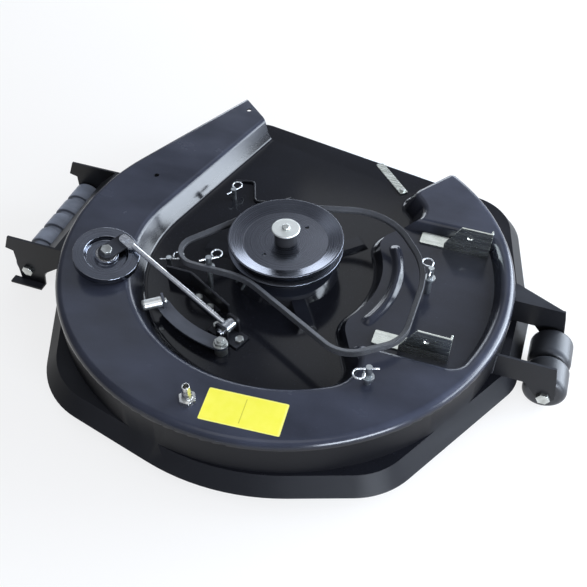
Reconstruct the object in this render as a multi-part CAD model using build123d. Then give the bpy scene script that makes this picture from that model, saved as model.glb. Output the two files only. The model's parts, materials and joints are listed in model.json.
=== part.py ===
# Cutting deck of a small ride-on mower: one blade, side discharge, with its spindle, belt,
# belt tensioner, lift brackets and anti-scalp rollers. Millimetres, +Z up, +X to the rear,
# +Y to the discharge side. It is drawn about the spindle axis with the rim at height zero,
# and at the end it is moved to stand centred on the origin.
import os
from math import asin, cos, degrees, radians, sin, sqrt, tan

from build123d import *

# Deck shell, pressed from one sheet
SHEET = 3.0
RING_RADIUS = 399.0
RING_TOP = 100.0
RING_ROUND = 14.0
TUNNEL_ANGLE = 156.0
TUNNEL_LENGTH = 290.0
MOUTH_ANGLE = 77.5
MOUTH_SET_BACK = 89.0
MOUTH_FRONT = -240.0
MOUTH_REAR = 101.0
REAR_EAR_ANGLE = 54.2
MOUTH_OVERRUN = 60.0
EAR_OVERRUN = 8.0

# Rim: each side by the direction of its normal, how far it stands out past the ring, and the
# radius of the corner that leads to the next side
RIM_SIDES = (
    (0.0, 35.0, 80.0),
    (13.3, 41.0, 115.0),
    (79.0, 22.0, 80.0),
    (156.0, 19.0, 80.0),
    (180.0, 3.0, 80.0),
    (204.0, 18.0, 150.0),
    (256.5, 21.0, 390.0),
    (290.0, 27.0, 130.0),
    (330.6, 20.0, 80.0),
)
RIM_DRAFT = 38.0
SHELF_HEIGHT = 28.0

# Pan: the sunk middle of the deck, open to the discharge mouth, with a round ledge behind it
PAN_CENTRE = (15.0, -15.0)
RING_WIDTH = 119.0
PAN_FLOOR = 60.0
PAN_DRAFT = 28.8
PAN_EDGE_ROUND = 13.0
PAN_FLOOR_ROUND = 9.0
PAN_CORNER = 60.0
LEDGE_SET_BACK = 216.0
LEDGE_HALF_ANGLE = 35.0
LEDGE_NEAR_ANGLE = -63.0
LEDGE_NOSE = 34.0
LEDGE_FAR_ANGLE = 40.1
LEDGE_FAR_SET_BACK = 109.0
LEDGE_FAR_ROUND = 45.0
CHUTE_WALL_ANGLE = 75.8
CHUTE_LENGTH = 430.0
NOTCH_PLACE_ANGLE = 53.5
NOTCH_SET_BACK = 103.0
NOTCH_ANGLE = 55.0
NOTCH_LENGTH = 220.0
NOTCH_ROUND = 16.0

# Pocket between the lift brackets
POCKET_FLOOR = 80.0
POCKET_NEAR_SET_BACK = 239.0
POCKET_FAR_SET_BACK = 236.0
POCKET_OVERLAP = 63.0
POCKET_END = 23.0
POCKET_CORNER = 36.0

# Embosses in the pan floor, and the bead along the ledge
PLATEAU_RADIUS = 96.0
PLATEAU_HEIGHT = 14.0
EMBOSS_DRAFT = 35.0
RIB_ANGLES = (178.0, -57.0, 44.0, 112.0)
RIB_END_GAP = 25.0
RIB_WIDTH = 36.0
RIB_HEIGHT = 9.0
BEAD_SET_BACK = 14.0
BEAD_WIDTH = 26.0
BEAD_HEIGHT = 6.0
BEAD_DRAFT = 57.0
BEAD_HALF_ANGLE = 27.0
RING_HOLES = ((-308.0, 117.0), (-221.0, 384.0))
RING_HOLE_RADIUS = 5.0

# Fits
CLEAR = 0.3
RUNNING = 0.05
SEAT = 0.02
HOLE_CLEAR = 0.5

# Bolts: head width, head height and nut height as multiples of the shank radius
BOLT_ACROSS = 3.3
HEAD_HEIGHT = 1.4
NUT_HEIGHT = 1.4

# Spindle, from the plateau up and down
SHAFT_RADIUS = 12.5
SHAFT_TOP = 150.0
HOUSING_FLANGE_RADIUS = 62.0
HOUSING_FLANGE = 9.0
HOUSING_TOP = 106.0
HOUSING_NECK_RADIUS = 35.0
HOUSING_SPIGOT_RADIUS = 38.0
HOUSING_BOTTOM = 50.0
HOUSING_BOLT_CIRCLE = 50.0
HOUSING_BOLTS = 4
HOUSING_BOLT_RADIUS = 4.0
BEARING_RADIUS = 26.0
BEARING_WIDTH = 15.0
SPACER_WALL = 4.0

# Drive pulley and what clamps it
PULLEY_RADIUS = 100.0
PULLEY_TOP = 135.6
PULLEY_FACE = 126.0
PULLEY_FACE_RADIUS = 74.0
PULLEY_BOTTOM = 110.8
PULLEY_PLATE = 4.0
GROOVE_FLOOR_RADIUS = 86.0
GROOVE_MID = 123.0
GROOVE_FLOOR_WIDTH = 6.0
GROOVE_MOUTH_WIDTH = 17.0
PULLEY_HOLE_CIRCLE = 50.5
PULLEY_HOLE_ANGLE = 62.0
PULLEY_HOLE_RADIUS = 3.5
HUB_RADIUS = 20.0
HUB_TOP = 152.0
WASHER_RADIUS = 24.5
WASHER_THICKNESS = 3.5
SCREW_RADIUS = 4.0
SCREW_HEAD_RADIUS = 7.0
SCREW_HEAD = 4.0
SCREW_DEPTH = 24.0

# Cutting blade and its clamp
BLADE_RADIUS = 381.0
BLADE_WIDTH = 62.0
BLADE_THICKNESS = 5.0
BLADE_BOTTOM = 32.0
BLADE_ANGLE = 24.0
BLADE_WING_LENGTH = 125.0
BLADE_WING_WIDTH = 30.0
BLADE_WING_TILT = 28.0
BLADE_EDGE_LENGTH = 150.0
BLADE_EDGE_WIDTH = 12.0
ADAPTER_RADIUS = 34.0
BLADE_WASHER_RADIUS = 22.0
BLADE_WASHER = 4.0
BLADE_BOLT_RADIUS = 6.0
BLADE_BOLT_HEAD = 8.0
BLADE_BOLT_ACROSS = 19.0
BLADE_BOLT_DEPTH = 26.0

# V-belt: its loop by the corners of its runs, each with its bend radius
BELT_WIDTH = 12.7
BELT_THICKNESS = 9.0
BELT_WRAP_START = 105.0
BELT_WRAP_END = 142.0
BELT_CORNERS = ((150, 134.3), (247, 15), (246, -150), (165, -212), (-35, -105), (-198, -105))
BELT_BENDS = (110, 150, 60, 55, 120, 33)

# Belt keepers: studs with a collar that the belt lies on, each with a hairpin clip
KEEPERS = ((-104.0, -94.5), (254.0, 6.0), (213.0, -229.0))
KEEPER_FLOORS = (PAN_FLOOR, POCKET_FLOOR, RING_TOP)
KEEPER_RADIUS = 5.0
KEEPER_COLLAR_RADIUS = 9.5
KEEPER_COLLAR = 4.0
KEEPER_RISE = 9.0
PLAIN_PINS = ((-196.0, -68.0), (-160.0, 146.0))
PLAIN_PIN_HEIGHT = 24.0
CLIP_WIRE_RADIUS = 1.4
CLIP_RING_RADIUS = 9.0
CLIP_LEG = 32.0
CLIP_RING_TURN = 300.0
CLIP_TURNS = (35.0, 90.0, 200.0, 20.0, 60.0)
CLIP_BELOW_TOP = 4.5

# Lift brackets: bent from zinc-plated strip, both alike, by their web's front foot corner
LIFT_NEAR_SET_BACK = 161.0
LIFT_NEAR_GAP = 24.0
LIFT_FAR_SET_BACK = 142.0
LIFT_FAR_GAP = 41.0
LIFT_SHEET = 3.0
LIFT_HEIGHT = 57.0
LIFT_LENGTH = 80.0
LIFT_FRONT_RISE = 12.0
LIFT_FRONT_RUN = 26.0
LIFT_FLANGE = 27.0
LIFT_FLANGE_TOP = 10.0
LIFT_FOOT_REACH = 44.0
LIFT_FOOT_END = 58.0
LIFT_FOOT_WIDTH = 29.0
LIFT_HOLE_RADIUS = 5.2
LIFT_HOLE_ALONG = 43.0
LIFT_HOLE_UP = 39.0
LIFT_BOLT_RADIUS = 4.0
LIFT_BOLT_ALONG = 10.0
LIFT_BOLT_SPACING = 36.0
LIFT_BOLT_ASIDE = 12.0

# Rollers, with their brackets by how far they reach past the ring
ROLLER_DROP = 33.0
ROLLER_GROUND_GAP = 3.0
AXLE_RADIUS = 8.0
AXLE_HEAD = 6.0
AXLE_HEAD_ACROSS = 20.0
BRACKET_PLATE = 4.0
BRACKET_TOP = 76.0
WELD_GAP = 0.2
REAR_AXLE_REACH = 80.0
REAR_ROLLER_RADIUS = 36.0
REAR_ROLLER_ROUND = 12.0
REAR_PLATE_NEAR = -86.0
REAR_PLATE_FAR = 43.0
REAR_PLATE_REACH = 89.0
REAR_FLANGE = 40.0
REAR_EYE_RADIUS = 18.0
ROLLER_SIDE_GAP = 1.5
FRONT_AXLE_REACH = 77.0
FRONT_AXLE_Z = 0.0
FRONT_PLATE_NEAR = -110.0
FRONT_PLATE_FAR = 124.0
FRONT_HORN_REACH = 115.0
FRONT_HORN_Z = 46.0
FRONT_EDGE_REACH = 99.0
FRONT_FOOT_REAR_REACH = 49.0
FRONT_FOOT_WIDTH = 16.0
FRONT_PANEL_TOP_REACH = 5.0
FRONT_PANEL_LOW_REACH = 44.0
FRONT_PANEL_LOW_Z = 40.0
GROOVE_COUNT = 4
GROOVE_WIDTH = 12.0
GROOVE_DEPTH = 7.0

# Belt tensioner: rod hinged on a pin in a U bracket, with an idler at its free end
PIN_PLACE = (-36.0, -181.0)
PIN_HEIGHT = 82.0
PIN_RADIUS = 5.0
ROD_HEADING = 160.0
ROD_PITCH = 13.2
ROD_RADIUS = 4.5
ROD_LENGTH = 222.0
ROD_EYE_RADIUS = 10.0
ROD_EYE_WIDTH = 22.0
ROD_FLAT_LENGTH = 34.0
ROD_FLAT_WIDTH = 18.0
ROD_FLAT = 4.0
EAR_SHEET = 4.0
EAR_GAP = 1.0
EAR_WIDTH = 26.0
U_FOOT_LENGTH = 64.0
U_BOLT_RADIUS = 4.0
PIN_HEAD_RADIUS = 8.0
PIN_HEAD = 3.0
IDLER_ALONG = 245.0
IDLER_ASIDE = 38.6
IDLER_RADIUS = 56.0
IDLER_DEPTH = 14.0
IDLER_SHEET = 3.0
IDLER_STEP_RADIUS = 34.0
IDLER_SEAT_RADIUS = 17.5
IDLER_BEARING_WIDTH = 11.0
IDLER_BOLT_RADIUS = 6.0
IDLER_BOLT_ACROSS = 17.0
IDLER_BOLT_HEAD = 7.0
ARM_SHEET = 5.0
ARM_WIDTH = 28.0
RIVET_RADIUS = 4.0
RIVET_HEAD_RADIUS = 7.0
RIVET_HEAD = 3.0

# Brake lever beside the tensioner
LEVER_PIVOT = (-33.0, -219.0)
LEVER_END = (-156.0, -172.0)
LEVER_BOW = 10.0
LEVER_WIDTH = 24.0
LEVER_SHEET = 4.0
LEVER_HEIGHT = 76.0
LEVER_STUD_RADIUS = 6.0
LEVER_COLLAR_RADIUS = 11.0
LEVER_NUT_ACROSS = 18.0
LEVER_NUT = 8.0
LEVER_NUT_FLANGE_RADIUS = 12.0
LUG_HEIGHT = 20.0
LUG_WIDTH = 20.0
SLEEVE_RADIUS = 9.0
SLEEVE_LENGTH = 30.0
SLEEVE_BOLT_RADIUS = 4.0
SLEEVE_HEADING = 38.0

# Linkage bracket: an upright strip with a bent end, bolted to the pan floor
LINK_START = (-186.0, -96.0)
LINK_BEND = (-140.0, -96.0)
LINK_END = (-48.0, -146.0)
LINK_BEND_RADIUS = 12.0
LINK_SHEET = 4.0
LINK_HEIGHT = 32.0
LINK_FOOT_WIDTH = 22.0
LINK_FOOT_LENGTH = 60.0
LINK_BOLT_RADIUS = 4.0

# Wash port on the ring
PORT_PLACE = (-29.0, -350.0)
PORT_THREAD_RADIUS = 8.0
PORT_BORE_RADIUS = 4.5
PORT_HEX_ACROSS = 24.0
PORT_HEX = 9.0
PORT_NOZZLE = 26.0
PORT_NOZZLE_RADIUS = 8.5
PORT_TIP_RADIUS = 6.0
PORT_NUT = 7.0

# Belt guide wire and discharge bracket
GUIDE_RADIUS = 2.5
GUIDE_POINTS = ((-176, 196), (-140, 205), (-118, 150), (-74, 158), (-54, 182))
GUIDE_BEND = 10.0
CHUTE_STRIP = ((150.0, 272.0), (80.0, 346.0))
CHUTE_STRIP_WIDTH = 16.0
CHUTE_STRIP_SHEET = 3.0
CHUTE_BOLT_RADIUS = 3.0

MOUTH_DISTANCE = RING_RADIUS - MOUTH_SET_BACK
MOUTH_LIMIT = MOUTH_DISTANCE - RING_ROUND
PAN_RADIUS = RING_RADIUS - RING_WIDTH
LEDGE_RADIUS = RING_RADIUS - LEDGE_SET_BACK
POCKET_NEAR = POCKET_NEAR_SET_BACK - RING_RADIUS
POCKET_FAR = RING_RADIUS - POCKET_FAR_SET_BACK
POCKET_FRONT = LEDGE_RADIUS - POCKET_OVERLAP
PLATEAU_TOP = PAN_FLOOR + PLATEAU_HEIGHT
LIFT_BRACKETS = {
    "near": (RING_RADIUS - LIFT_NEAR_SET_BACK, POCKET_NEAR + LIFT_NEAR_GAP),
    "far": (RING_RADIUS - LIFT_FAR_SET_BACK, POCKET_FAR - LIFT_FAR_GAP),
}
REAR_AXLE_X = RING_RADIUS + REAR_AXLE_REACH
REAR_PLATE_END = RING_RADIUS + REAR_PLATE_REACH
FRONT_AXLE_X = -RING_RADIUS - FRONT_AXLE_REACH
FRONT_HORN_X = -RING_RADIUS - FRONT_HORN_REACH
FRONT_EDGE_X = -RING_RADIUS - FRONT_EDGE_REACH
FRONT_FOOT_REAR_X = -RING_RADIUS - FRONT_FOOT_REAR_REACH
FRONT_PANEL_TOP_X = -RING_RADIUS - FRONT_PANEL_TOP_REACH
FRONT_PANEL_LOW_X = -RING_RADIUS - FRONT_PANEL_LOW_REACH
parts = {}


def polar(angle, distance):
    """Point at an angle in degrees and a distance from the spindle."""
    return Vector(distance * cos(radians(angle)), distance * sin(radians(angle)))


def polygon_face(*points):
    """Face bounded by straight lines through the points."""
    return make_face(Polyline(*points, close=True))


def prism(face, bottom, top):
    """Upright prism of a flat outline between two heights."""
    return Pos(0, 0, bottom) * extrude(face, top - bottom)


def drum(radius, bottom, top, place=(0, 0)):
    """Upright cylinder between two heights."""
    return prism(Pos(*place) * Circle(radius), bottom, top)


def hexagon(across, bottom, top, place=(0, 0)):
    """Upright hexagonal prism by its width across flats."""
    return prism(Pos(*place) * RegularPolygon(across / 2, 6, major_radius=False), bottom, top)


def turned(*points):
    """Solid turned about the spindle axis from (radius, height) points."""
    outline = Polyline(*[(radius, 0, height) for radius, height in points], close=True)
    return revolve(make_face(outline), Axis.Z)


# Deck shell: the outer form less the same form set in by the sheet
def deck_outline(inset, overrun):
    """Plan of the ring with its discharge tunnel; the mouth may run past its edge."""
    normal = polar(MOUTH_ANGLE, 1)
    along = Vector(normal.Y, -normal.X)
    mouth = normal * (MOUTH_DISTANCE + overrun)
    past = EAR_OVERRUN if overrun else 0
    ear_angle = REAR_EAR_ANGLE + past
    ring = CenterArc((0, 0), RING_RADIUS - inset, TUNNEL_ANGLE, 360 - TUNNEL_ANGLE + ear_angle)
    tunnel_way = Vector(sin(radians(TUNNEL_ANGLE)), -cos(radians(TUNNEL_ANGLE)))
    front_ear = (ring @ 0) + tunnel_way * (TUNNEL_LENGTH + overrun)
    edge = Polyline(ring @ 1, mouth + along * MOUTH_REAR, mouth + along * MOUTH_FRONT, front_ear, ring @ 0)
    return make_face([ring, *edge.edges()])


def rim_outline(inset):
    """Plan of the rim: a polygon whose sides stand at their own distances, with round corners."""
    corners = []
    following = RIM_SIDES[1:] + RIM_SIDES[:1]
    for (angle, overhang, _), (next_angle, next_overhang, _) in zip(RIM_SIDES, following):
        turn = radians(next_angle - angle)
        distance = RING_RADIUS + overhang - inset
        slide = (RING_RADIUS + next_overhang - inset - distance * cos(turn)) / sin(turn)
        corners.append(polar(angle, distance) + polar(angle + 90, slide))
    face = polygon_face(*corners)
    for corner, (_, _, radius) in zip(corners, RIM_SIDES):
        face = fillet(face.vertices().sort_by_distance(corner)[0], radius - inset)
    return face


def pan_outline(grow):
    """Plan of the pan at the ring's top: a round well with a ledge left behind it, and the chute."""
    centre = Vector(*PAN_CENTRE)
    reach = 2 * PAN_RADIUS
    near_nose = polar(-LEDGE_HALF_ANGLE, LEDGE_RADIUS)
    far_nose = polar(LEDGE_HALF_ANGLE, LEDGE_RADIUS)
    far_corner = polar(LEDGE_FAR_ANGLE, RING_RADIUS - LEDGE_FAR_SET_BACK)
    far_way = (far_corner - far_nose).normalized()
    behind = polygon_face(
        near_nose,
        near_nose + polar(LEDGE_NEAR_ANGLE, reach),
        (reach, 0),
        far_nose + far_way * reach,
        far_nose,
    )
    well = Pos(*PAN_CENTRE) * Circle(PAN_RADIUS) - behind + Circle(LEDGE_RADIUS)
    near_corner = well.vertices().sort_by(Axis.Y)[0]
    wall_way = polar(CHUTE_WALL_ANGLE, 1)
    wall_start = centre + Vector(-wall_way.Y, wall_way.X) * PAN_RADIUS
    notch = polar(NOTCH_PLACE_ANGLE, RING_RADIUS - NOTCH_SET_BACK)
    chute = polygon_face(
        wall_start,
        wall_start + wall_way * CHUTE_LENGTH,
        notch + polar(NOTCH_ANGLE, NOTCH_LENGTH),
        notch,
        far_corner,
        far_nose,
        centre,
    )
    face = well + chute
    rounds = (
        (Vector(*near_corner), PAN_CORNER),
        (near_nose, LEDGE_NOSE),
        (far_nose, LEDGE_NOSE),
        (far_corner, LEDGE_FAR_ROUND),
        (notch, NOTCH_ROUND),
    )
    for corner, radius in rounds:
        face = fillet(face.vertices().sort_by_distance(corner)[0], radius)
    return offset(face, amount=grow, kind=Kind.INTERSECTION) if grow else face


def sunk(face, floor, draft):
    """Cutter that narrows from the ring's top down to a floor, and is open above."""
    cutter = mirror(extrude(face, RING_TOP - floor, taper=draft), about=Plane.XY)
    return Pos(0, 0, RING_TOP) * cutter + prism(face, RING_TOP, RING_TOP + SHEET)


def pan_cut(inset):
    """The pan with walls at the sheet's inset."""
    return sunk(pan_outline(inset / cos(radians(PAN_DRAFT))), PAN_FLOOR - inset, PAN_DRAFT)


def pocket_cut(inset):
    """The shallow pocket behind the pan."""
    middle = (POCKET_NEAR + POCKET_FAR) / 2
    span = POCKET_FAR - POCKET_NEAR
    box = Pos(POCKET_FRONT, middle) * Rectangle(RING_RADIUS, span, align=(Align.MIN, Align.CENTER))
    face = box & Circle(RING_RADIUS - POCKET_END)
    outer = face.vertices().sort_by(Axis.X)[2:]
    face = fillet(outer, POCKET_CORNER)
    grow = inset / cos(radians(PAN_DRAFT))
    return sunk(offset(face, amount=grow) if grow else face, POCKET_FLOOR - inset, PAN_DRAFT)


def emboss(inset):
    """Raised plateau and ribs on the pan floor and bead on the ledge, each from its floor up."""
    floor = PAN_FLOOR - inset
    slope = inset * tan(radians(45 - EMBOSS_DRAFT / 2))
    raised = extrude(Pos(0, 0, floor) * Circle(PLATEAU_RADIUS - slope), PLATEAU_HEIGHT, taper=EMBOSS_DRAFT)
    rib_end = LEDGE_RADIUS - RIB_END_GAP
    for angle in RIB_ANGLES:
        bar = Rectangle(rib_end - slope, RIB_WIDTH - 2 * slope, align=(Align.MIN, Align.CENTER))
        bar = Rot(0, 0, angle) * bar
        raised += extrude(Pos(0, 0, floor) * bar, RIB_HEIGHT, taper=EMBOSS_DRAFT)
    arc = CenterArc((0, 0), LEDGE_RADIUS + BEAD_SET_BACK, -BEAD_HALF_ANGLE, 2 * BEAD_HALF_ANGLE)
    bead = trace(arc, BEAD_WIDTH - 2 * inset * tan(radians(45 - BEAD_DRAFT / 2)))
    bead = extrude(Pos(0, 0, POCKET_FLOOR - inset) * bead, BEAD_HEIGHT, taper=BEAD_DRAFT)
    return [raised, bead]


def edges_at(solid, height):
    """Edges that lie flat at a height."""
    return solid.edges().filter_by_position(Axis.Z, height - SEAT, height + SEAT)


def ring_form(inset, overrun):
    """Walls and top of the deck above the shelf, with its rounded edges, as a full solid."""
    top = RING_TOP - inset
    form = prism(deck_outline(inset, overrun), SHELF_HEIGHT - SHEET, top)
    rim = [edge for edge in edges_at(form, top) if edge.geom_type == GeomType.CIRCLE]
    rim += [edge for edge in edges_at(form, top) if abs(edge.length - TUNNEL_LENGTH - overrun) < SHEET]
    form = fillet(rim, RING_ROUND - inset) - pan_cut(inset) - pocket_cut(inset)
    lips = [edge for edge in edges_at(form, top) if inside_ring(edge)]
    near_lips = [edge for edge in lips if not behind_pan(edge.position_at(0.5))]
    form = fillet(near_lips, PAN_EDGE_ROUND - inset)
    lips = [edge for edge in edges_at(form, top) if inside_ring(edge)]
    far_lips = [edge for edge in lips if behind_pan(edge.position_at(0.5))]
    form = fillet(far_lips, PAN_EDGE_ROUND - inset)
    floors = [edge for edge in edges_at(form, PAN_FLOOR - inset) if inside_ring(edge)]
    return fillet(floors, PAN_FLOOR_ROUND + inset)


def behind_pan(point):
    """True for a point on the pocket's edge or on the pan's far rear edge."""
    return point.X > POCKET_FRONT and point.Y > POCKET_NEAR - POCKET_CORNER


def inside_ring(edge):
    """True for an edge inside the ring and short of the mouth."""
    middle = edge.position_at(0.5)
    plan = Vector(middle.X, middle.Y)
    return plan.length < RING_RADIUS - RING_ROUND - SEAT and plan.dot(polar(MOUTH_ANGLE, 1)) < MOUTH_LIMIT


outer = ring_form(0, 0)
outer += extrude(rim_outline(0), SHELF_HEIGHT, taper=RIM_DRAFT)
outer += emboss(0)
chamber = prism(deck_outline(SHEET, 0), -SHEET, SHELF_HEIGHT)
apron_inset = SHEET / cos(radians(RIM_DRAFT))
apron_void = extrude(rim_outline(apron_inset), SHELF_HEIGHT - SHEET, taper=RIM_DRAFT)
above_shelf = prism(Rectangle(4 * RING_RADIUS, 4 * RING_RADIUS), SHELF_HEIGHT, RING_TOP)
void = (ring_form(SHEET, MOUTH_OVERRUN) & above_shelf) + emboss(SHEET)
shell = outer - void - chamber - apron_void
shell -= drum(HOUSING_SPIGOT_RADIUS + HOLE_CLEAR, PAN_FLOOR, PLATEAU_TOP + SHEET)
for place in RING_HOLES:
    shell -= drum(RING_HOLE_RADIUS, PAN_FLOOR, RING_TOP + SHEET, place)
shell_holes = []


def bolt_set(place, seat, grip, radius):
    """Hexagon bolt on a seat, through a grip, with its nut underneath; it also drills the shell."""
    across = BOLT_ACROSS * radius
    low = seat - grip
    shank_end = low - NUT_HEIGHT * radius - radius
    bolt = hexagon(across, seat, seat + HEAD_HEIGHT * radius, place)
    bolt += drum(radius, shank_end, seat, place)
    nut = hexagon(across, low - NUT_HEIGHT * radius, low, place)
    nut -= drum(radius + SEAT, shank_end, seat, place)
    shell_holes.append(drum(radius + HOLE_CLEAR, low - SEAT, low + SHEET + SEAT, place))
    return [bolt, nut]


def upright(points, start, end):
    """Plate standing in the XZ plane between two places along Y."""
    face = make_face(Polyline(*[(x, start, z) for x, z in points], close=True))
    return extrude(face, end - start, dir=(0, 1, 0))


def lying(radius, start, end, x, z):
    """Cylinder along Y between two places."""
    return Pos(x, start, z) * Rot(-90, 0, 0) * extrude(Circle(radius), end - start)


def lying_hexagon(across, start, end, x, z):
    """Hexagonal prism along Y between two places."""
    face = RegularPolygon(across / 2, 6, major_radius=False)
    return Pos(x, start, z) * Rot(-90, 0, 0) * extrude(face, end - start)


# Spindle housing, cast, with its two bearings
half_bore = (BEARING_RADIUS + SHAFT_RADIUS) / 2 + SPACER_WALL
upper_seat = HOUSING_TOP - BEARING_WIDTH
lower_seat = HOUSING_BOTTOM + BEARING_WIDTH
parts["spindle_housing"] = turned(
    (BEARING_RADIUS + SEAT, HOUSING_BOTTOM),
    (HOUSING_SPIGOT_RADIUS, HOUSING_BOTTOM),
    (HOUSING_SPIGOT_RADIUS, PLATEAU_TOP),
    (HOUSING_FLANGE_RADIUS, PLATEAU_TOP),
    (HOUSING_FLANGE_RADIUS, PLATEAU_TOP + HOUSING_FLANGE),
    (HOUSING_SPIGOT_RADIUS, PLATEAU_TOP + HOUSING_FLANGE),
    (HOUSING_NECK_RADIUS, HOUSING_TOP),
    (BEARING_RADIUS + SEAT, HOUSING_TOP),
    (BEARING_RADIUS + SEAT, upper_seat),
    (half_bore, upper_seat),
    (half_bore, lower_seat),
    (BEARING_RADIUS + SEAT, lower_seat),
)
bearing = drum(BEARING_RADIUS, 0, BEARING_WIDTH) - drum(SHAFT_RADIUS + RUNNING, 0, BEARING_WIDTH)
parts["upper_bearing"] = Pos(0, 0, upper_seat) * bearing
parts["lower_bearing"] = Pos(0, 0, HOUSING_BOTTOM) * bearing
housing_bolts = []
for index in range(HOUSING_BOLTS):
    spot = polar((index + 0.5) * 360 / HOUSING_BOLTS, HOUSING_BOLT_CIRCLE)
    place = (spot.X, spot.Y)
    flange_top = PLATEAU_TOP + HOUSING_FLANGE
    housing_bolts += bolt_set(place, flange_top, HOUSING_FLANGE + SHEET, HOUSING_BOLT_RADIUS)
    parts["spindle_housing"] -= drum(HOUSING_BOLT_RADIUS + HOLE_CLEAR, PLATEAU_TOP, HOUSING_TOP, place)
parts["housing_bolts"] = housing_bolts

# Spindle shaft with the spacer between its bearings
blade_top = BLADE_BOTTOM + BLADE_THICKNESS
shaft = drum(SHAFT_RADIUS, blade_top, SHAFT_TOP)
shaft -= drum(SCREW_RADIUS + SEAT, SHAFT_TOP - SCREW_DEPTH, SHAFT_TOP)
shaft -= drum(BLADE_BOLT_RADIUS + SEAT, blade_top, blade_top + BLADE_BOLT_DEPTH)
parts["spindle_shaft"] = shaft
shaft_hole = drum(SHAFT_RADIUS + SEAT, 0, PULLEY_TOP + HUB_TOP)
spacer = drum(SHAFT_RADIUS + SPACER_WALL, lower_seat + CLEAR, upper_seat - CLEAR)
parts["bearing_spacer"] = spacer - shaft_hole

# Drive pulley: pressed V pulley with its boss, hub sleeve, washer and screw
groove_slope = (GROOVE_MOUTH_WIDTH - GROOVE_FLOOR_WIDTH) / 2 / (PULLEY_RADIUS - GROOVE_FLOOR_RADIUS)
rim_step = PULLEY_FACE_RADIUS + PULLEY_TOP - PULLEY_FACE
pulley = turned(
    (SHAFT_RADIUS + SEAT, PULLEY_FACE),
    (PULLEY_FACE_RADIUS, PULLEY_FACE),
    (rim_step, PULLEY_TOP),
    (PULLEY_RADIUS, PULLEY_TOP),
    (PULLEY_RADIUS, GROOVE_MID + GROOVE_MOUTH_WIDTH / 2),
    (GROOVE_FLOOR_RADIUS, GROOVE_MID + GROOVE_FLOOR_WIDTH / 2),
    (GROOVE_FLOOR_RADIUS, GROOVE_MID - GROOVE_FLOOR_WIDTH / 2),
    (PULLEY_RADIUS, GROOVE_MID - GROOVE_MOUTH_WIDTH / 2),
    (PULLEY_RADIUS, PULLEY_BOTTOM),
    (rim_step, PULLEY_BOTTOM),
    (PULLEY_FACE_RADIUS, PULLEY_FACE - PULLEY_PLATE),
    (HUB_RADIUS, PULLEY_FACE - PULLEY_PLATE),
    (HUB_RADIUS, HOUSING_TOP + CLEAR),
    (SHAFT_RADIUS + SEAT, HOUSING_TOP + CLEAR),
)
for side in (0, 180):
    spot = polar(PULLEY_HOLE_ANGLE + side, PULLEY_HOLE_CIRCLE)
    pulley -= drum(PULLEY_HOLE_RADIUS, PULLEY_BOTTOM, PULLEY_TOP, (spot.X, spot.Y))
parts["drive_pulley"] = pulley
parts["pulley_hub"] = drum(HUB_RADIUS, PULLEY_FACE, HUB_TOP) - shaft_hole
washer_top = HUB_TOP + WASHER_THICKNESS
washer = drum(WASHER_RADIUS, HUB_TOP, washer_top)
washer = fillet(edges_at(washer, washer_top), WASHER_THICKNESS / 2)
parts["pulley_washer"] = washer - drum(SCREW_RADIUS + SEAT, HUB_TOP, washer_top)
screw_head = drum(SCREW_HEAD_RADIUS, washer_top, washer_top + SCREW_HEAD)
screw_head = fillet(edges_at(screw_head, washer_top + SCREW_HEAD), SCREW_HEAD / 2)
parts["pulley_screw"] = screw_head + drum(SCREW_RADIUS, SHAFT_TOP - SCREW_DEPTH, washer_top)

# Cutting blade: a bar with sharpened leading edges and lifted trailing wings
tip = sqrt(BLADE_RADIUS**2 - (BLADE_WIDTH / 2) ** 2)
blade = Pos(0, 0, BLADE_BOTTOM) * extrude(Rectangle(2 * tip, BLADE_WIDTH), BLADE_THICKNESS)
for side in (1, -1):
    end = Rot(0, 0, 0 if side > 0 else 180)
    edge = make_face(
        Polyline(
            (0, BLADE_WIDTH / 2, blade_top),
            (0, BLADE_WIDTH / 2 - BLADE_EDGE_WIDTH, blade_top),
            (0, BLADE_WIDTH / 2, BLADE_BOTTOM),
            close=True,
        )
    )
    blade -= end * Pos(tip - BLADE_EDGE_LENGTH, 0, 0) * extrude(edge, BLADE_EDGE_LENGTH, dir=(1, 0, 0))
    wing = extrude(
        Rectangle(BLADE_WING_LENGTH, BLADE_WING_WIDTH, align=(Align.MAX, Align.MAX)), BLADE_THICKNESS
    )
    hinge = Pos(tip, -BLADE_WIDTH / 2 + BLADE_THICKNESS, BLADE_BOTTOM)
    blade += end * hinge * Rot(-BLADE_WING_TILT, 0, 0) * wing
blade -= drum(BLADE_BOLT_RADIUS + HOLE_CLEAR, BLADE_BOTTOM, blade_top)
sweep_limit = drum(BLADE_RADIUS, 0, RING_TOP)
parts["cutting_blade"] = Rot(0, 0, BLADE_ANGLE) * (blade & sweep_limit)
parts["blade_adapter"] = drum(ADAPTER_RADIUS, blade_top, HOUSING_BOTTOM - CLEAR) - shaft_hole
washer_low = BLADE_BOTTOM - BLADE_WASHER
blade_washer = drum(BLADE_WASHER_RADIUS, washer_low, BLADE_BOTTOM)
parts["blade_washer"] = blade_washer - drum(BLADE_BOLT_RADIUS + SEAT, washer_low, BLADE_BOTTOM)
blade_bolt = hexagon(BLADE_BOLT_ACROSS, washer_low - BLADE_BOLT_HEAD, washer_low)
parts["blade_bolt"] = blade_bolt + drum(BLADE_BOLT_RADIUS, washer_low, blade_top + BLADE_BOLT_DEPTH - CLEAR)

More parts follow.
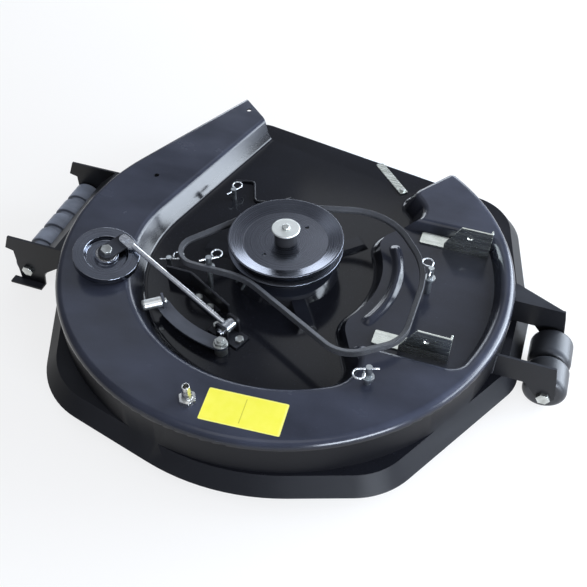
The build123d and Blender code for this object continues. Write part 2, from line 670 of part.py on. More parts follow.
# Drive belt: a wedge section led round its loop
belt_outside = GROOVE_FLOOR_RADIUS + (BELT_WIDTH + 2 * CLEAR - GROOVE_FLOOR_WIDTH) / 2 / groove_slope
belt_line_radius = belt_outside - BELT_THICKNESS / 2
wrap = BELT_WRAP_END - BELT_WRAP_START
wrap_corner = polar((BELT_WRAP_START + BELT_WRAP_END) / 2, belt_line_radius / cos(radians(wrap / 2)))
belt_points = [(wrap_corner.X, wrap_corner.Y, GROOVE_MID)]
belt_points += [(x, y, GROOVE_MID) for x, y in BELT_CORNERS]
belt_path = FilletPolyline(*belt_points, radius=[belt_line_radius, *BELT_BENDS], close=True)
way = belt_path % 0
section_plane = Plane(origin=belt_path @ 0, x_dir=(-way.Y, way.X, 0), z_dir=way)
inner_width = BELT_WIDTH - 2 * BELT_THICKNESS * groove_slope
belt_half = BELT_THICKNESS / 2
belt_section = section_plane * polygon_face(
    (belt_half, BELT_WIDTH / 2),
    (-belt_half, inner_width / 2),
    (-belt_half, -inner_width / 2),
    (belt_half, -BELT_WIDTH / 2),
)
parts["drive_belt"] = sweep(belt_section, path=belt_path)


# Belt keepers and plain pins, each with a hairpin clip through its cross hole
def hairpin(height):
    """Spring-wire clip: a straight leg that ends in a ring, lying flat at a height."""
    leg = Line((-CLIP_LEG / 2, 0, height), (CLIP_LEG / 2, 0, height))
    ring_centre = Plane((CLIP_LEG / 2, CLIP_RING_RADIUS, height))
    ring = CenterArc(ring_centre.origin, CLIP_RING_RADIUS, -90, CLIP_RING_TURN)
    path = Wire([leg, ring])
    return sweep(Plane(origin=path @ 0, z_dir=path % 0) * Circle(CLIP_WIRE_RADIUS), path=path)


studs = []
clips = []
belt_under = GROOVE_MID - BELT_WIDTH / 2 - CLEAR
belt_over = GROOVE_MID + BELT_WIDTH / 2
pin_list = [(place, floor, belt_over + KEEPER_RISE, True) for place, floor in zip(KEEPERS, KEEPER_FLOORS)]
pin_list += [(place, PAN_FLOOR, PAN_FLOOR + PLAIN_PIN_HEIGHT, False) for place in PLAIN_PINS]
for (place, floor, top, has_collar), turn in zip(pin_list, CLIP_TURNS):
    stud = drum(KEEPER_RADIUS, floor, top, place)
    if has_collar:
        stud += drum(KEEPER_COLLAR_RADIUS, belt_under - KEEPER_COLLAR, belt_under, place)
    stand = Pos(*place) * Rot(0, 0, turn)
    clip_height = top - CLIP_BELOW_TOP
    cross_hole = extrude(Circle(CLIP_WIRE_RADIUS + SEAT), CLIP_LEG / 2, both=True)
    studs.append(stud - stand * Pos(0, 0, clip_height) * Rot(0, 90, 0) * cross_hole)
    clips.append(stand * hairpin(clip_height))
parts["belt_keepers"] = studs
parts["hairpin_clips"] = clips

# Lift brackets, each bolted to the pocket floor by its foot
lift_bolts = []
for side, (x, y) in LIFT_BRACKETS.items():
    top = POCKET_FLOOR + LIFT_HEIGHT
    web = upright(
        [
            (x, POCKET_FLOOR),
            (x + LIFT_LENGTH, POCKET_FLOOR),
            (x + LIFT_LENGTH, top),
            (x + LIFT_FRONT_RUN, top),
            (x, POCKET_FLOOR + LIFT_FRONT_RISE),
        ],
        y,
        y + LIFT_SHEET,
    )
    foot_low = (x - LIFT_FOOT_REACH, y)
    foot_size = (LIFT_FOOT_REACH + LIFT_FOOT_END, LIFT_FOOT_WIDTH)
    foot = Pos(*foot_low) * Rectangle(*foot_size, align=(Align.MIN, Align.MIN))
    foot = fillet(foot.vertices(), LIFT_SHEET)
    bracket = web + prism(foot, POCKET_FLOOR, POCKET_FLOOR + LIFT_SHEET)
    flange = Plane((x + LIFT_LENGTH, y, 0), x_dir=(0, 1, 0), z_dir=(1, 0, 0)) * polygon_face(
        (0, POCKET_FLOOR + LIFT_FRONT_RISE),
        (LIFT_FLANGE, POCKET_FLOOR + LIFT_FRONT_RISE),
        (LIFT_FLANGE, top - LIFT_FRONT_RUN),
        (LIFT_FLANGE_TOP, top),
        (0, top),
    )
    bracket += extrude(flange, -LIFT_SHEET)
    hole_place = (x + LIFT_HOLE_ALONG, POCKET_FLOOR + LIFT_HOLE_UP)
    bracket -= lying(LIFT_HOLE_RADIUS, y, y + LIFT_SHEET, *hole_place)
    for step in (0, 1):
        place = (x + LIFT_BOLT_ALONG + step * LIFT_BOLT_SPACING, y + LIFT_SHEET + LIFT_BOLT_ASIDE)
        lift_bolts += bolt_set(place, POCKET_FLOOR + LIFT_SHEET, LIFT_SHEET + SHEET, LIFT_BOLT_RADIUS)
        bracket -= drum(LIFT_BOLT_RADIUS + HOLE_CLEAR, POCKET_FLOOR, top, place)
    parts[f"lift_bracket_{side}"] = bracket
parts["lift_bolts"] = lift_bolts

# What the roller brackets are fitted round: the skirt and the rim
skirt = drum(RING_RADIUS + WELD_GAP, -RING_TOP, RING_TOP)
skirt += prism(rim_outline(-WELD_GAP), -RING_TOP, SHELF_HEIGHT + WELD_GAP)

# Rear roller bracket: two plates welded to the skirt, the far one with a gusset flange
rear_axle_z = REAR_ROLLER_RADIUS - ROLLER_DROP
plate_root = RING_RADIUS - 2 * REAR_EYE_RADIUS
rear_outline = [
    (plate_root, BRACKET_TOP),
    (REAR_PLATE_END - BRACKET_PLATE, BRACKET_TOP),
    (REAR_PLATE_END, BRACKET_TOP - REAR_EYE_RADIUS),
    (REAR_AXLE_X + REAR_EYE_RADIUS, rear_axle_z),
    (REAR_AXLE_X, rear_axle_z - REAR_EYE_RADIUS),
    (REAR_AXLE_X - 2 * REAR_EYE_RADIUS, SHELF_HEIGHT),
    (plate_root, SHELF_HEIGHT),
]
for side, y in (("near", REAR_PLATE_NEAR), ("far", REAR_PLATE_FAR)):
    plate = upright(rear_outline, y - BRACKET_PLATE / 2, y + BRACKET_PLATE / 2)
    if side == "far":
        gusset = polygon_face(
            (plate_root, y),
            (REAR_PLATE_END - BRACKET_PLATE, y),
            (RING_RADIUS, y + REAR_FLANGE),
            (plate_root, y + REAR_FLANGE),
        )
        plate += prism(gusset, BRACKET_TOP - BRACKET_PLATE, BRACKET_TOP)
    plate -= lying(AXLE_RADIUS + RUNNING, y - BRACKET_PLATE, y + BRACKET_PLATE, REAR_AXLE_X, rear_axle_z)
    parts[f"rear_plate_{side}"] = plate - skirt


# Axles: a bolt right through both plates with its nut
def axle_set(x, z, near, far):
    """Axle bolt along Y between the outer faces of two plates, and its nut."""
    head = lying_hexagon(AXLE_HEAD_ACROSS, near - AXLE_HEAD, near, x, z)
    bolt = head + lying(AXLE_RADIUS, near, far + 2 * AXLE_HEAD, x, z)
    nut = lying_hexagon(AXLE_HEAD_ACROSS, far, far + AXLE_HEAD, x, z)
    return bolt, nut - lying(AXLE_RADIUS + SEAT, far, far + AXLE_HEAD, x, z)


half_plate = BRACKET_PLATE / 2
rear_low = REAR_PLATE_NEAR - half_plate
rear_high = REAR_PLATE_FAR + half_plate
parts["rear_axle"], parts["rear_axle_nut"] = axle_set(REAR_AXLE_X, rear_axle_z, rear_low, rear_high)
roller_start = REAR_PLATE_NEAR + half_plate + ROLLER_SIDE_GAP
roller_length = (REAR_PLATE_FAR - REAR_PLATE_NEAR - BRACKET_PLATE - 3 * ROLLER_SIDE_GAP) / 2
for index, side in enumerate(("near", "far")):
    start = roller_start + index * (roller_length + ROLLER_SIDE_GAP)
    roller = lying(REAR_ROLLER_RADIUS, start, start + roller_length, REAR_AXLE_X, rear_axle_z)
    roller = fillet(roller.edges().filter_by(GeomType.CIRCLE), REAR_ROLLER_ROUND)
    bore = lying(AXLE_RADIUS + RUNNING, start, start + roller_length, REAR_AXLE_X, rear_axle_z)
    parts[f"rear_roller_{side}"] = roller - bore

# Front roller bracket: two skid plates joined by a bent cover panel, all one weldment
foot_z = -ROLLER_DROP
front_root = -RING_RADIUS + 2 * BRACKET_PLATE + FRONT_FOOT_WIDTH
front_outline = [
    (front_root, BRACKET_TOP),
    (FRONT_EDGE_X - BRACKET_PLATE, BRACKET_TOP),
    (FRONT_HORN_X, FRONT_HORN_Z),
    (FRONT_EDGE_X, FRONT_HORN_Z - BRACKET_PLATE),
    (FRONT_EDGE_X, foot_z),
    (FRONT_FOOT_REAR_X, foot_z),
    (FRONT_PANEL_LOW_X, FRONT_AXLE_Z),
    (FRONT_PANEL_TOP_X, SHELF_HEIGHT),
    (front_root, SHELF_HEIGHT),
]
front_bracket = None
for y, outward in ((FRONT_PLATE_NEAR, -1), (FRONT_PLATE_FAR, 1)):
    plate = upright(front_outline, y - half_plate, y + half_plate)
    skid = upright(
        [
            (FRONT_HORN_X, foot_z),
            (FRONT_FOOT_REAR_X, foot_z),
            (FRONT_FOOT_REAR_X, foot_z + BRACKET_PLATE),
            (FRONT_HORN_X, foot_z + BRACKET_PLATE),
        ],
        y,
        y + outward * FRONT_FOOT_WIDTH,
    )
    plate += skid
    plate -= lying(AXLE_RADIUS + RUNNING, y - BRACKET_PLATE, y + BRACKET_PLATE, FRONT_AXLE_X, FRONT_AXLE_Z)
    front_bracket = plate if front_bracket is None else front_bracket + plate
panel = upright(
    [
        (front_root, BRACKET_TOP),
        (FRONT_PANEL_TOP_X, BRACKET_TOP),
        (FRONT_PANEL_LOW_X, FRONT_PANEL_LOW_Z),
        (FRONT_PANEL_LOW_X + BRACKET_PLATE, FRONT_PANEL_LOW_Z),
        (FRONT_PANEL_TOP_X + BRACKET_PLATE, BRACKET_TOP - BRACKET_PLATE),
        (front_root, BRACKET_TOP - BRACKET_PLATE),
    ],
    FRONT_PLATE_NEAR,
    FRONT_PLATE_FAR,
)
parts["front_bracket"] = front_bracket + panel - skirt
front_low = FRONT_PLATE_NEAR - half_plate
front_high = FRONT_PLATE_FAR + half_plate
parts["front_axle"], parts["front_axle_nut"] = axle_set(FRONT_AXLE_X, FRONT_AXLE_Z, front_low, front_high)

# Front roller: one long moulding with drain grooves round it
front_radius = FRONT_AXLE_Z + ROLLER_DROP - ROLLER_GROUND_GAP
start = FRONT_PLATE_NEAR + half_plate + ROLLER_SIDE_GAP
end = FRONT_PLATE_FAR - half_plate - ROLLER_SIDE_GAP
front_roller = lying(front_radius, start, end, FRONT_AXLE_X, FRONT_AXLE_Z)
pitch = (end - start) / (GROOVE_COUNT + 1)
for index in range(GROOVE_COUNT):
    middle = start + (index + 1) * pitch
    low = middle - GROOVE_WIDTH / 2
    high = middle + GROOVE_WIDTH / 2
    groove = lying(front_radius + SEAT, low, high, FRONT_AXLE_X, FRONT_AXLE_Z)
    front_roller -= groove - lying(front_radius - GROOVE_DEPTH, low, high, FRONT_AXLE_X, FRONT_AXLE_Z)
parts["front_roller"] = front_roller - lying(AXLE_RADIUS + RUNNING, start, end, FRONT_AXLE_X, FRONT_AXLE_Z)

# Tensioner: U bracket and pin on the pan floor; the rod's own frame points along the rod
u_frame = Pos(*PIN_PLACE, 0) * Rot(0, 0, ROD_HEADING)
ear_inner = ROD_EYE_WIDTH / 2 + EAR_GAP
ear_outer = ear_inner + EAR_SHEET
ear_top = PIN_HEIGHT + EAR_WIDTH / 2
u_bracket = prism(Rectangle(U_FOOT_LENGTH, 2 * ear_outer), PAN_FLOOR, PAN_FLOOR + EAR_SHEET)
for low, high in ((ear_inner, ear_outer), (-ear_outer, -ear_inner)):
    ear = upright(
        [
            (-EAR_WIDTH / 2, PAN_FLOOR),
            (EAR_WIDTH / 2, PAN_FLOOR),
            (EAR_WIDTH / 2, ear_top - EAR_SHEET),
            (EAR_WIDTH / 2 - EAR_SHEET, ear_top),
            (EAR_SHEET - EAR_WIDTH / 2, ear_top),
            (-EAR_WIDTH / 2, ear_top - EAR_SHEET),
        ],
        low,
        high,
    )
    u_bracket += ear
u_bracket -= lying(PIN_RADIUS + SEAT, -ear_outer, ear_outer, 0, PIN_HEIGHT)
u_bolt_x = U_FOOT_LENGTH / 2 - U_BOLT_RADIUS * BOLT_ACROSS / 2 - EAR_GAP
pivot_bolts = []
for direction in (1, -1):
    spot = u_frame * Pos(direction * u_bolt_x, 0, 0)
    place = (spot.position.X, spot.position.Y)
    pivot_bolts += bolt_set(place, PAN_FLOOR + EAR_SHEET, EAR_SHEET + SHEET, U_BOLT_RADIUS)
    u_bracket -= drum(U_BOLT_RADIUS + HOLE_CLEAR, PAN_FLOOR, PIN_HEIGHT, (direction * u_bolt_x, 0))
parts["pivot_bracket"] = u_frame * u_bracket
parts["pivot_bolts"] = pivot_bolts
pin = lying(PIN_RADIUS, -ear_outer, ear_outer + 2 * PIN_HEAD, 0, PIN_HEIGHT)
pin += lying(PIN_HEAD_RADIUS, -ear_outer - PIN_HEAD, -ear_outer, 0, PIN_HEIGHT)
parts["pivot_pin"] = u_frame * pin
cap = lying(PIN_HEAD_RADIUS, ear_outer, ear_outer + PIN_HEAD, 0, PIN_HEIGHT)
cap -= lying(PIN_RADIUS + SEAT, ear_outer, ear_outer + PIN_HEAD, 0, PIN_HEIGHT)
parts["pivot_washer"] = u_frame * cap

arm_frame = Pos(*PIN_PLACE, PIN_HEIGHT) * Rot(0, 0, ROD_HEADING) * Rot(0, -ROD_PITCH, 0)
eye = lying(ROD_EYE_RADIUS, -ROD_EYE_WIDTH / 2, ROD_EYE_WIDTH / 2, 0, 0)
rod = eye + Rot(0, 90, 0) * extrude(Circle(ROD_RADIUS), ROD_LENGTH)
rod -= lying(PIN_RADIUS + RUNNING, -ROD_EYE_WIDTH / 2, ROD_EYE_WIDTH / 2, 0, 0)
flat_middle = ROD_LENGTH + ROD_FLAT_LENGTH / 2 - ROD_RADIUS
flat_low = -ROD_RADIUS
flat_face = Pos(flat_middle, 0) * SlotOverall(ROD_FLAT_LENGTH, ROD_FLAT_WIDTH)
rivet_x = ROD_LENGTH + ROD_FLAT_LENGTH - ROD_RADIUS - ROD_FLAT_WIDTH / 2
rivet_hole = drum(RIVET_RADIUS + SEAT, flat_low - ARM_SHEET - RIVET_HEAD, ROD_RADIUS, (rivet_x, 0))
rod += prism(flat_face, flat_low, flat_low + ROD_FLAT)
parts["tension_rod"] = arm_frame * (rod - rivet_hole)
arm_low = flat_low - ARM_SHEET
arm_span = Vector(IDLER_ALONG - rivet_x, IDLER_ASIDE)
arm_turn = degrees(asin(IDLER_ASIDE / arm_span.length))
arm_centre = Pos((IDLER_ALONG + rivet_x) / 2, IDLER_ASIDE / 2)
arm_face = arm_centre * Rot(0, 0, arm_turn) * SlotCenterToCenter(arm_span.length, ARM_WIDTH)
idler_spot = (IDLER_ALONG, IDLER_ASIDE)
arm = prism(arm_face, arm_low, flat_low) - rivet_hole
arm -= drum(IDLER_BOLT_RADIUS + SEAT, arm_low, flat_low, idler_spot)
parts["idler_arm"] = arm_frame * arm
rivet = drum(RIVET_RADIUS, arm_low, flat_low + ROD_FLAT, (rivet_x, 0))
rivet += drum(RIVET_HEAD_RADIUS, flat_low + ROD_FLAT, flat_low + ROD_FLAT + RIVET_HEAD, (rivet_x, 0))
parts["rod_rivet"] = arm_frame * rivet

# Idler: a stamped dish on a sealed bearing, hung under the arm on a shoulder bolt
bearing_top = arm_low - CLEAR
bearing_low = bearing_top - IDLER_BEARING_WIDTH
idler_bolt = hexagon(IDLER_BOLT_ACROSS, flat_low, flat_low + IDLER_BOLT_HEAD)
idler_bolt += drum(IDLER_BOLT_RADIUS, bearing_low - CLEAR, flat_low)
idler_bolt += drum(IDLER_SEAT_RADIUS / 2, bearing_low - CLEAR - PIN_HEAD, bearing_low - CLEAR)
at_idler = arm_frame * Pos(*idler_spot, 0)
parts["idler_bolt"] = at_idler * idler_bolt
idler_bearing = drum(IDLER_SEAT_RADIUS, bearing_low, bearing_top)
idler_bearing -= drum(IDLER_BOLT_RADIUS + RUNNING, bearing_low, bearing_top)
parts["idler_bearing"] = at_idler * idler_bearing
dish_low = bearing_top - IDLER_DEPTH
hub_outside = IDLER_SEAT_RADIUS + IDLER_SHEET
dish = turned(
    (IDLER_SEAT_RADIUS + SEAT, bearing_top),
    (hub_outside, bearing_top),
    (hub_outside, dish_low + 2 * IDLER_SHEET),
    (IDLER_STEP_RADIUS, dish_low + 2 * IDLER_SHEET),
    (IDLER_STEP_RADIUS + IDLER_SHEET, bearing_top),
    (IDLER_RADIUS, bearing_top),
    (IDLER_RADIUS, dish_low),
    (IDLER_RADIUS - IDLER_SHEET, dish_low),
    (IDLER_RADIUS - IDLER_SHEET, bearing_top - IDLER_SHEET),
    (IDLER_STEP_RADIUS + 2 * IDLER_SHEET, bearing_top - IDLER_SHEET),
    (IDLER_STEP_RADIUS + IDLER_SHEET, dish_low + IDLER_SHEET),
    (IDLER_SEAT_RADIUS + SEAT, dish_low + IDLER_SHEET),
)
parts["idler_pulley"] = at_idler * dish

# Brake lever: a bowed strip on a shouldered stud, with a lug and spring sleeve at its end
pivot = Vector(*LEVER_PIVOT)
lever_end = Vector(*LEVER_END)
lever_way = (lever_end - pivot).normalized()
bow_point = (pivot + lever_end) / 2 + Vector(-lever_way.Y, lever_way.X) * LEVER_BOW
lever_top = LEVER_HEIGHT + LEVER_SHEET
lever_face = trace(ThreePointArc(pivot, bow_point, lever_end), LEVER_WIDTH)
lever_face += Pos(*LEVER_PIVOT) * Circle(LEVER_WIDTH / 2)
lever_face += Pos(*LEVER_END) * Circle(LEVER_WIDTH / 2)
lever = prism(lever_face, LEVER_HEIGHT, lever_top)
lever -= drum(LEVER_STUD_RADIUS + RUNNING, LEVER_HEIGHT, lever_top, LEVER_PIVOT)
sleeve_frame = Pos(*LEVER_END, lever_top + LUG_HEIGHT / 2) * Rot(0, 0, SLEEVE_HEADING)
lug = sleeve_frame * Box(LEVER_SHEET, LUG_WIDTH, LUG_HEIGHT)
pin_hole = sleeve_frame * Rot(0, 90, 0) * extrude(Circle(SLEEVE_BOLT_RADIUS + SEAT), LEVER_SHEET, both=True)
parts["brake_lever"] = lever + lug - pin_hole
sleeve_start = LEVER_SHEET / 2
tube = extrude(Circle(SLEEVE_RADIUS) - Circle(SLEEVE_BOLT_RADIUS + SEAT), SLEEVE_LENGTH)
along_sleeve = sleeve_frame * Rot(0, -90, 0)
parts["lever_sleeve"] = along_sleeve * Pos(0, 0, sleeve_start) * tube
sleeve_bolt = Pos(0, 0, -sleeve_start - SLEEVE_BOLT_RADIUS) * extrude(
    Circle(SLEEVE_BOLT_RADIUS), SLEEVE_LENGTH + 2 * sleeve_start + SLEEVE_BOLT_RADIUS
)
cap_start = sleeve_start + SLEEVE_LENGTH
dome = Pos(0, 0, cap_start) * extrude(Circle(SLEEVE_RADIUS), SLEEVE_BOLT_RADIUS)
dome = fillet(dome.edges().sort_by(Axis.Z)[-1], SLEEVE_BOLT_RADIUS - SEAT)
parts["sleeve_bolt"] = along_sleeve * (sleeve_bolt + dome)
collar_top = LEVER_HEIGHT - CLEAR
stud_top = lever_top + CLEAR + LEVER_NUT + EAR_SHEET
lever_stud = drum(LEVER_COLLAR_RADIUS, PAN_FLOOR, collar_top, LEVER_PIVOT)
parts["lever_stud"] = lever_stud + drum(LEVER_STUD_RADIUS, collar_top, stud_top, LEVER_PIVOT)
nut_low = lever_top + CLEAR
lever_nut = drum(LEVER_NUT_FLANGE_RADIUS, nut_low, nut_low + LEVER_SHEET / 2, LEVER_PIVOT)
lever_nut += hexagon(LEVER_NUT_ACROSS, nut_low, nut_low + LEVER_NUT, LEVER_PIVOT)
parts["lever_nut"] = lever_nut - drum(LEVER_STUD_RADIUS + SEAT, nut_low, stud_top, LEVER_PIVOT)

# Linkage bracket with its foot bolts
link_path = FilletPolyline(LINK_START, LINK_BEND, LINK_END, radius=LINK_BEND_RADIUS)
link = prism(trace(link_path, LINK_SHEET), PAN_FLOOR, PAN_FLOOR + LINK_HEIGHT)
link_run = Vector(*LINK_END) - Vector(*LINK_BEND)
link_middle = (Vector(*LINK_END) + Vector(*LINK_BEND)) / 2
link_turn = -degrees(asin(-link_run.Y / link_run.length))
foot_frame = Pos(link_middle.X, link_middle.Y) * Rot(0, 0, link_turn)
foot = foot_frame * Rectangle(LINK_FOOT_LENGTH, LINK_FOOT_WIDTH, align=(Align.CENTER, Align.MAX))
link += prism(foot, PAN_FLOOR, PAN_FLOOR + LINK_SHEET)
link_bolts = []
for direction in (1, -1):
    spot = foot_frame * Pos(direction * LINK_FOOT_LENGTH / 4, -(LINK_FOOT_WIDTH + LINK_SHEET) / 2)
    place = (spot.position.X, spot.position.Y)
    link_bolts += bolt_set(place, PAN_FLOOR + LINK_SHEET, LINK_SHEET + SHEET, LINK_BOLT_RADIUS)
    link -= drum(LINK_BOLT_RADIUS + HOLE_CLEAR, PAN_FLOOR, PAN_FLOOR + LINK_SHEET, place)
parts["linkage_bracket"] = link
parts["linkage_bolts"] = link_bolts

# Wash port: a hose nozzle screwed through the ring, with its nut underneath
hex_top = RING_TOP + PORT_HEX
nozzle_top = hex_top + PORT_NOZZLE
thread_low = RING_TOP - SHEET - 2 * PORT_NUT
port = Pos(*PORT_PLACE) * turned(
    (0, thread_low),
    (PORT_THREAD_RADIUS, thread_low),
    (PORT_THREAD_RADIUS, hex_top),
    (PORT_NOZZLE_RADIUS, hex_top),
    (PORT_TIP_RADIUS, nozzle_top),
    (0, nozzle_top),
)
port += hexagon(PORT_HEX_ACROSS, RING_TOP, hex_top, PORT_PLACE)
parts["wash_port"] = port - drum(PORT_BORE_RADIUS, thread_low, nozzle_top, PORT_PLACE)
nut_high = RING_TOP - SHEET
port_nut = hexagon(PORT_HEX_ACROSS, nut_high - PORT_NUT, nut_high, PORT_PLACE)
parts["wash_port_nut"] = port_nut - drum(PORT_THREAD_RADIUS + SEAT, thread_low, nut_high, PORT_PLACE)
shell_holes.append(drum(PORT_THREAD_RADIUS + HOLE_CLEAR, nut_high - SEAT, RING_TOP + SEAT, PORT_PLACE))

# Belt guide wire lying on the chute floor, and the strip that carries a discharge chute
guide_points = [(x, y, PAN_FLOOR + GUIDE_RADIUS) for x, y in GUIDE_POINTS]
guide_path = FilletPolyline(*guide_points, radius=GUIDE_BEND)
guide_start = Plane(origin=guide_path @ 0, z_dir=guide_path % 0)
parts["guide_wire"] = sweep(guide_start * Circle(GUIDE_RADIUS), path=guide_path)
strip_start, strip_end = [Vector(*point) for point in CHUTE_STRIP]
strip_way = (strip_end - strip_start).normalized()
strip_path = Line(strip_start, strip_end)
strip = prism(trace(strip_path, CHUTE_STRIP_WIDTH), PAN_FLOOR, PAN_FLOOR + CHUTE_STRIP_SHEET)
spot = strip_start + strip_way * CHUTE_STRIP_WIDTH / 2
chute_place = (spot.X, spot.Y)
parts["chute_bolt"] = bolt_set(
    chute_place, PAN_FLOOR + CHUTE_STRIP_SHEET, CHUTE_STRIP_SHEET + SHEET, CHUTE_BOLT_RADIUS
)
parts["chute_strip"] = strip - drum(CHUTE_BOLT_RADIUS + HOLE_CLEAR, 0, RING_TOP, chute_place)

# Drill the shell for every bolt, stand the deck centred on the origin, and write each piece
for hole in shell_holes:
    shell -= hole
parts["deck_shell"] = shell
groups = {name: piece if isinstance(piece, list) else [piece] for name, piece in parts.items()}
boxes = [solid.bounding_box() for group in groups.values() for solid in group]
low_x = min(box.min.X for box in boxes)
high_x = max(box.max.X for box in boxes)
low_y = min(box.min.Y for box in boxes)
high_y = max(box.max.Y for box in boxes)
stand = Pos(-(low_x + high_x) / 2, -(low_y + high_y) / 2, ROLLER_DROP)
os.makedirs("parts", exist_ok=True)
for name, group in groups.items():
    moved = [stand * solid for solid in group]
    export_step(moved[0] if len(moved) == 1 else Compound(children=moved), f"parts/{name}.step")
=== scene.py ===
import json
from math import cos, pi, radians, sin, sqrt

import bmesh
import bpy
from mathutils import Matrix, Vector

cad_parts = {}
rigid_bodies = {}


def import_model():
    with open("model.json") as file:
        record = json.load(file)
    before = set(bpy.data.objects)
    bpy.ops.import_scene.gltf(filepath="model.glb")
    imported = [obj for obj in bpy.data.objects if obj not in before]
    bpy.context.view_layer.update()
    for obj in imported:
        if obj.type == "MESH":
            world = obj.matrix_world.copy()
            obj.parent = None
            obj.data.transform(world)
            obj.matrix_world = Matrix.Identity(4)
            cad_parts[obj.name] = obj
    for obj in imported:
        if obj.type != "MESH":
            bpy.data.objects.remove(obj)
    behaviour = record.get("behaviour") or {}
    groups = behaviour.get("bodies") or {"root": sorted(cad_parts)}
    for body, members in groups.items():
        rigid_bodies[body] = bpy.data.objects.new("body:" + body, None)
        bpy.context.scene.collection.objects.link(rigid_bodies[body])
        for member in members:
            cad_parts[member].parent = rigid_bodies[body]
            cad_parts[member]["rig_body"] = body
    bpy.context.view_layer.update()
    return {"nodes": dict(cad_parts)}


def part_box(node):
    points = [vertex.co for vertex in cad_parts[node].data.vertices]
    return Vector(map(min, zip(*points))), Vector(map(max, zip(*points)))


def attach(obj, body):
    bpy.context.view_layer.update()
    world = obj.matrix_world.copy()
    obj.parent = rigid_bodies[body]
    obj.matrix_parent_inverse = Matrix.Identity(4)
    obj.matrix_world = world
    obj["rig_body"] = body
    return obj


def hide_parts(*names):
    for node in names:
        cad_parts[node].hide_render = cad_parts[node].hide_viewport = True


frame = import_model()

# Studio: a white floor that runs past every edge of the picture, under a grey surround. Soft
# panels stand like windows to the right, behind and in front, and weaker ones hang far left and
# overhead, so that the gloss of the paint has something to mirror.
scene = bpy.context.scene
scene.view_settings.view_transform = "Standard"
FLOOR_REACH = 30.0
FLOOR_DROP = 0.0005
FLOOR_WHITE = (0.93, 0.93, 0.93, 1.0)
FLOOR_GLOW_SHARE = 0.75
UNDER_DECK_PLACE = (0.0, 0.06, 0.0)
UNDER_DECK_RADIUS = 0.40
CLEAR_OF_DECK_RADIUS = 0.45
SURROUND = (0.23, 0.245, 0.28, 1.0)
floor_mesh = bpy.data.meshes.new("studio_floor")
shape = bmesh.new()
bmesh.ops.create_grid(shape, x_segments=1, y_segments=1, size=FLOOR_REACH)
shape.to_mesh(floor_mesh)
shape.free()
floor_sheet = bpy.data.objects.new("studio_floor", floor_mesh)
floor_sheet.location.z = -FLOOR_DROP
scene.collection.objects.link(floor_sheet)
floor_finish = bpy.data.materials.new("studio_floor")
floor_finish.use_nodes = True
tree = floor_finish.node_tree
tree.nodes.clear()
# The white that the eye sees is the floor's own, save under the deck, which keeps its shadow
path = tree.nodes.new("ShaderNodeLightPath")
seen = path.outputs["Is Camera Ray"]
for ray in ("Is Glossy Ray", "Is Transmission Ray"):
    either = tree.nodes.new("ShaderNodeMath")
    either.operation = "MAXIMUM"
    tree.links.new(seen, either.inputs[0])
    tree.links.new(path.outputs[ray], either.inputs[1])
    seen = either.outputs[0]
share = tree.nodes.new("ShaderNodeMath")
share.operation = "MULTIPLY"
spot = tree.nodes.new("ShaderNodeTexCoord")
reach = tree.nodes.new("ShaderNodeVectorMath")
reach.operation = "DISTANCE"
reach.inputs[1].default_value = UNDER_DECK_PLACE
clear = tree.nodes.new("ShaderNodeMapRange")
clear.inputs["From Min"].default_value = UNDER_DECK_RADIUS
clear.inputs["From Max"].default_value = CLEAR_OF_DECK_RADIUS
clear.inputs["To Max"].default_value = FLOOR_GLOW_SHARE
tree.links.new(spot.outputs["Object"], reach.inputs[0])
tree.links.new(reach.outputs["Value"], clear.inputs["Value"])
tree.links.new(clear.outputs["Result"], share.inputs[1])
lit = tree.nodes.new("ShaderNodeBsdfDiffuse")
lit.inputs["Color"].default_value = FLOOR_WHITE
glow = tree.nodes.new("ShaderNodeEmission")
mix = tree.nodes.new("ShaderNodeMixShader")
output = tree.nodes.new("ShaderNodeOutputMaterial")
tree.links.new(seen, share.inputs[0])
tree.links.new(share.outputs[0], mix.inputs["Fac"])
tree.links.new(lit.outputs[0], mix.inputs[1])
tree.links.new(glow.outputs[0], mix.inputs[2])
tree.links.new(mix.outputs[0], output.inputs["Surface"])
floor_mesh.materials.append(floor_finish)
world = bpy.data.worlds.new("surround")
world.use_nodes = True
world.node_tree.nodes["Background"].inputs["Color"].default_value = SURROUND
scene.world = world
LIGHT_AIM = Vector((0.0, 0.0, 0.1))
LIGHT_PANELS = {
    "right_window": ((1.86, 1.22, 0.98), (1.8, 0.95), 73.0, (0.80, 0.89, 1.0)),
    "low_window": ((2.25, 1.0, 0.33), (0.75, 0.55), 26.0, (0.80, 0.89, 1.0)),
    "distant_window": ((3.95, 4.55, 0.78), (3.0, 1.2), 150.0, (0.80, 0.89, 1.0)),
    "rear_window": ((2.25, 0.1, 0.48), (1.0, 0.68), 30.0, (0.80, 0.89, 1.0)),
    "front_right": ((1.54, -1.54, 0.42), (1.1, 0.5), 60.0, (0.80, 0.88, 1.0)),
    "far_window": ((-0.5, 2.4, 0.52), (2.2, 0.8), 36.0, (0.84, 0.91, 1.0)),
    "far_left": ((-1.86, 1.38, 2.80), (1.5, 1.1), 4.9, (0.86, 0.92, 1.0)),
    "far_middle": ((-0.13, 1.8, 2.05), (1.05, 1.0), 2.8, (0.94, 0.97, 1.0)),
    "top_panel": ((0.1, -1.0, 2.5), (1.8, 1.4), 11.0, (0.98, 0.99, 1.0)),
}
for name, (place, size, power, tint) in LIGHT_PANELS.items():
    panel = bpy.data.lights.new(name, "AREA")
    panel.shape = "RECTANGLE"
    panel.size, panel.size_y = size
    panel.energy = power
    panel.color = tint
    lamp = bpy.data.objects.new(name, panel)
    lamp.location = place
    lamp.rotation_euler = (LIGHT_AIM - Vector(place)).to_track_quat("-Z", "Y").to_euler()
    scene.collection.objects.link(lamp)

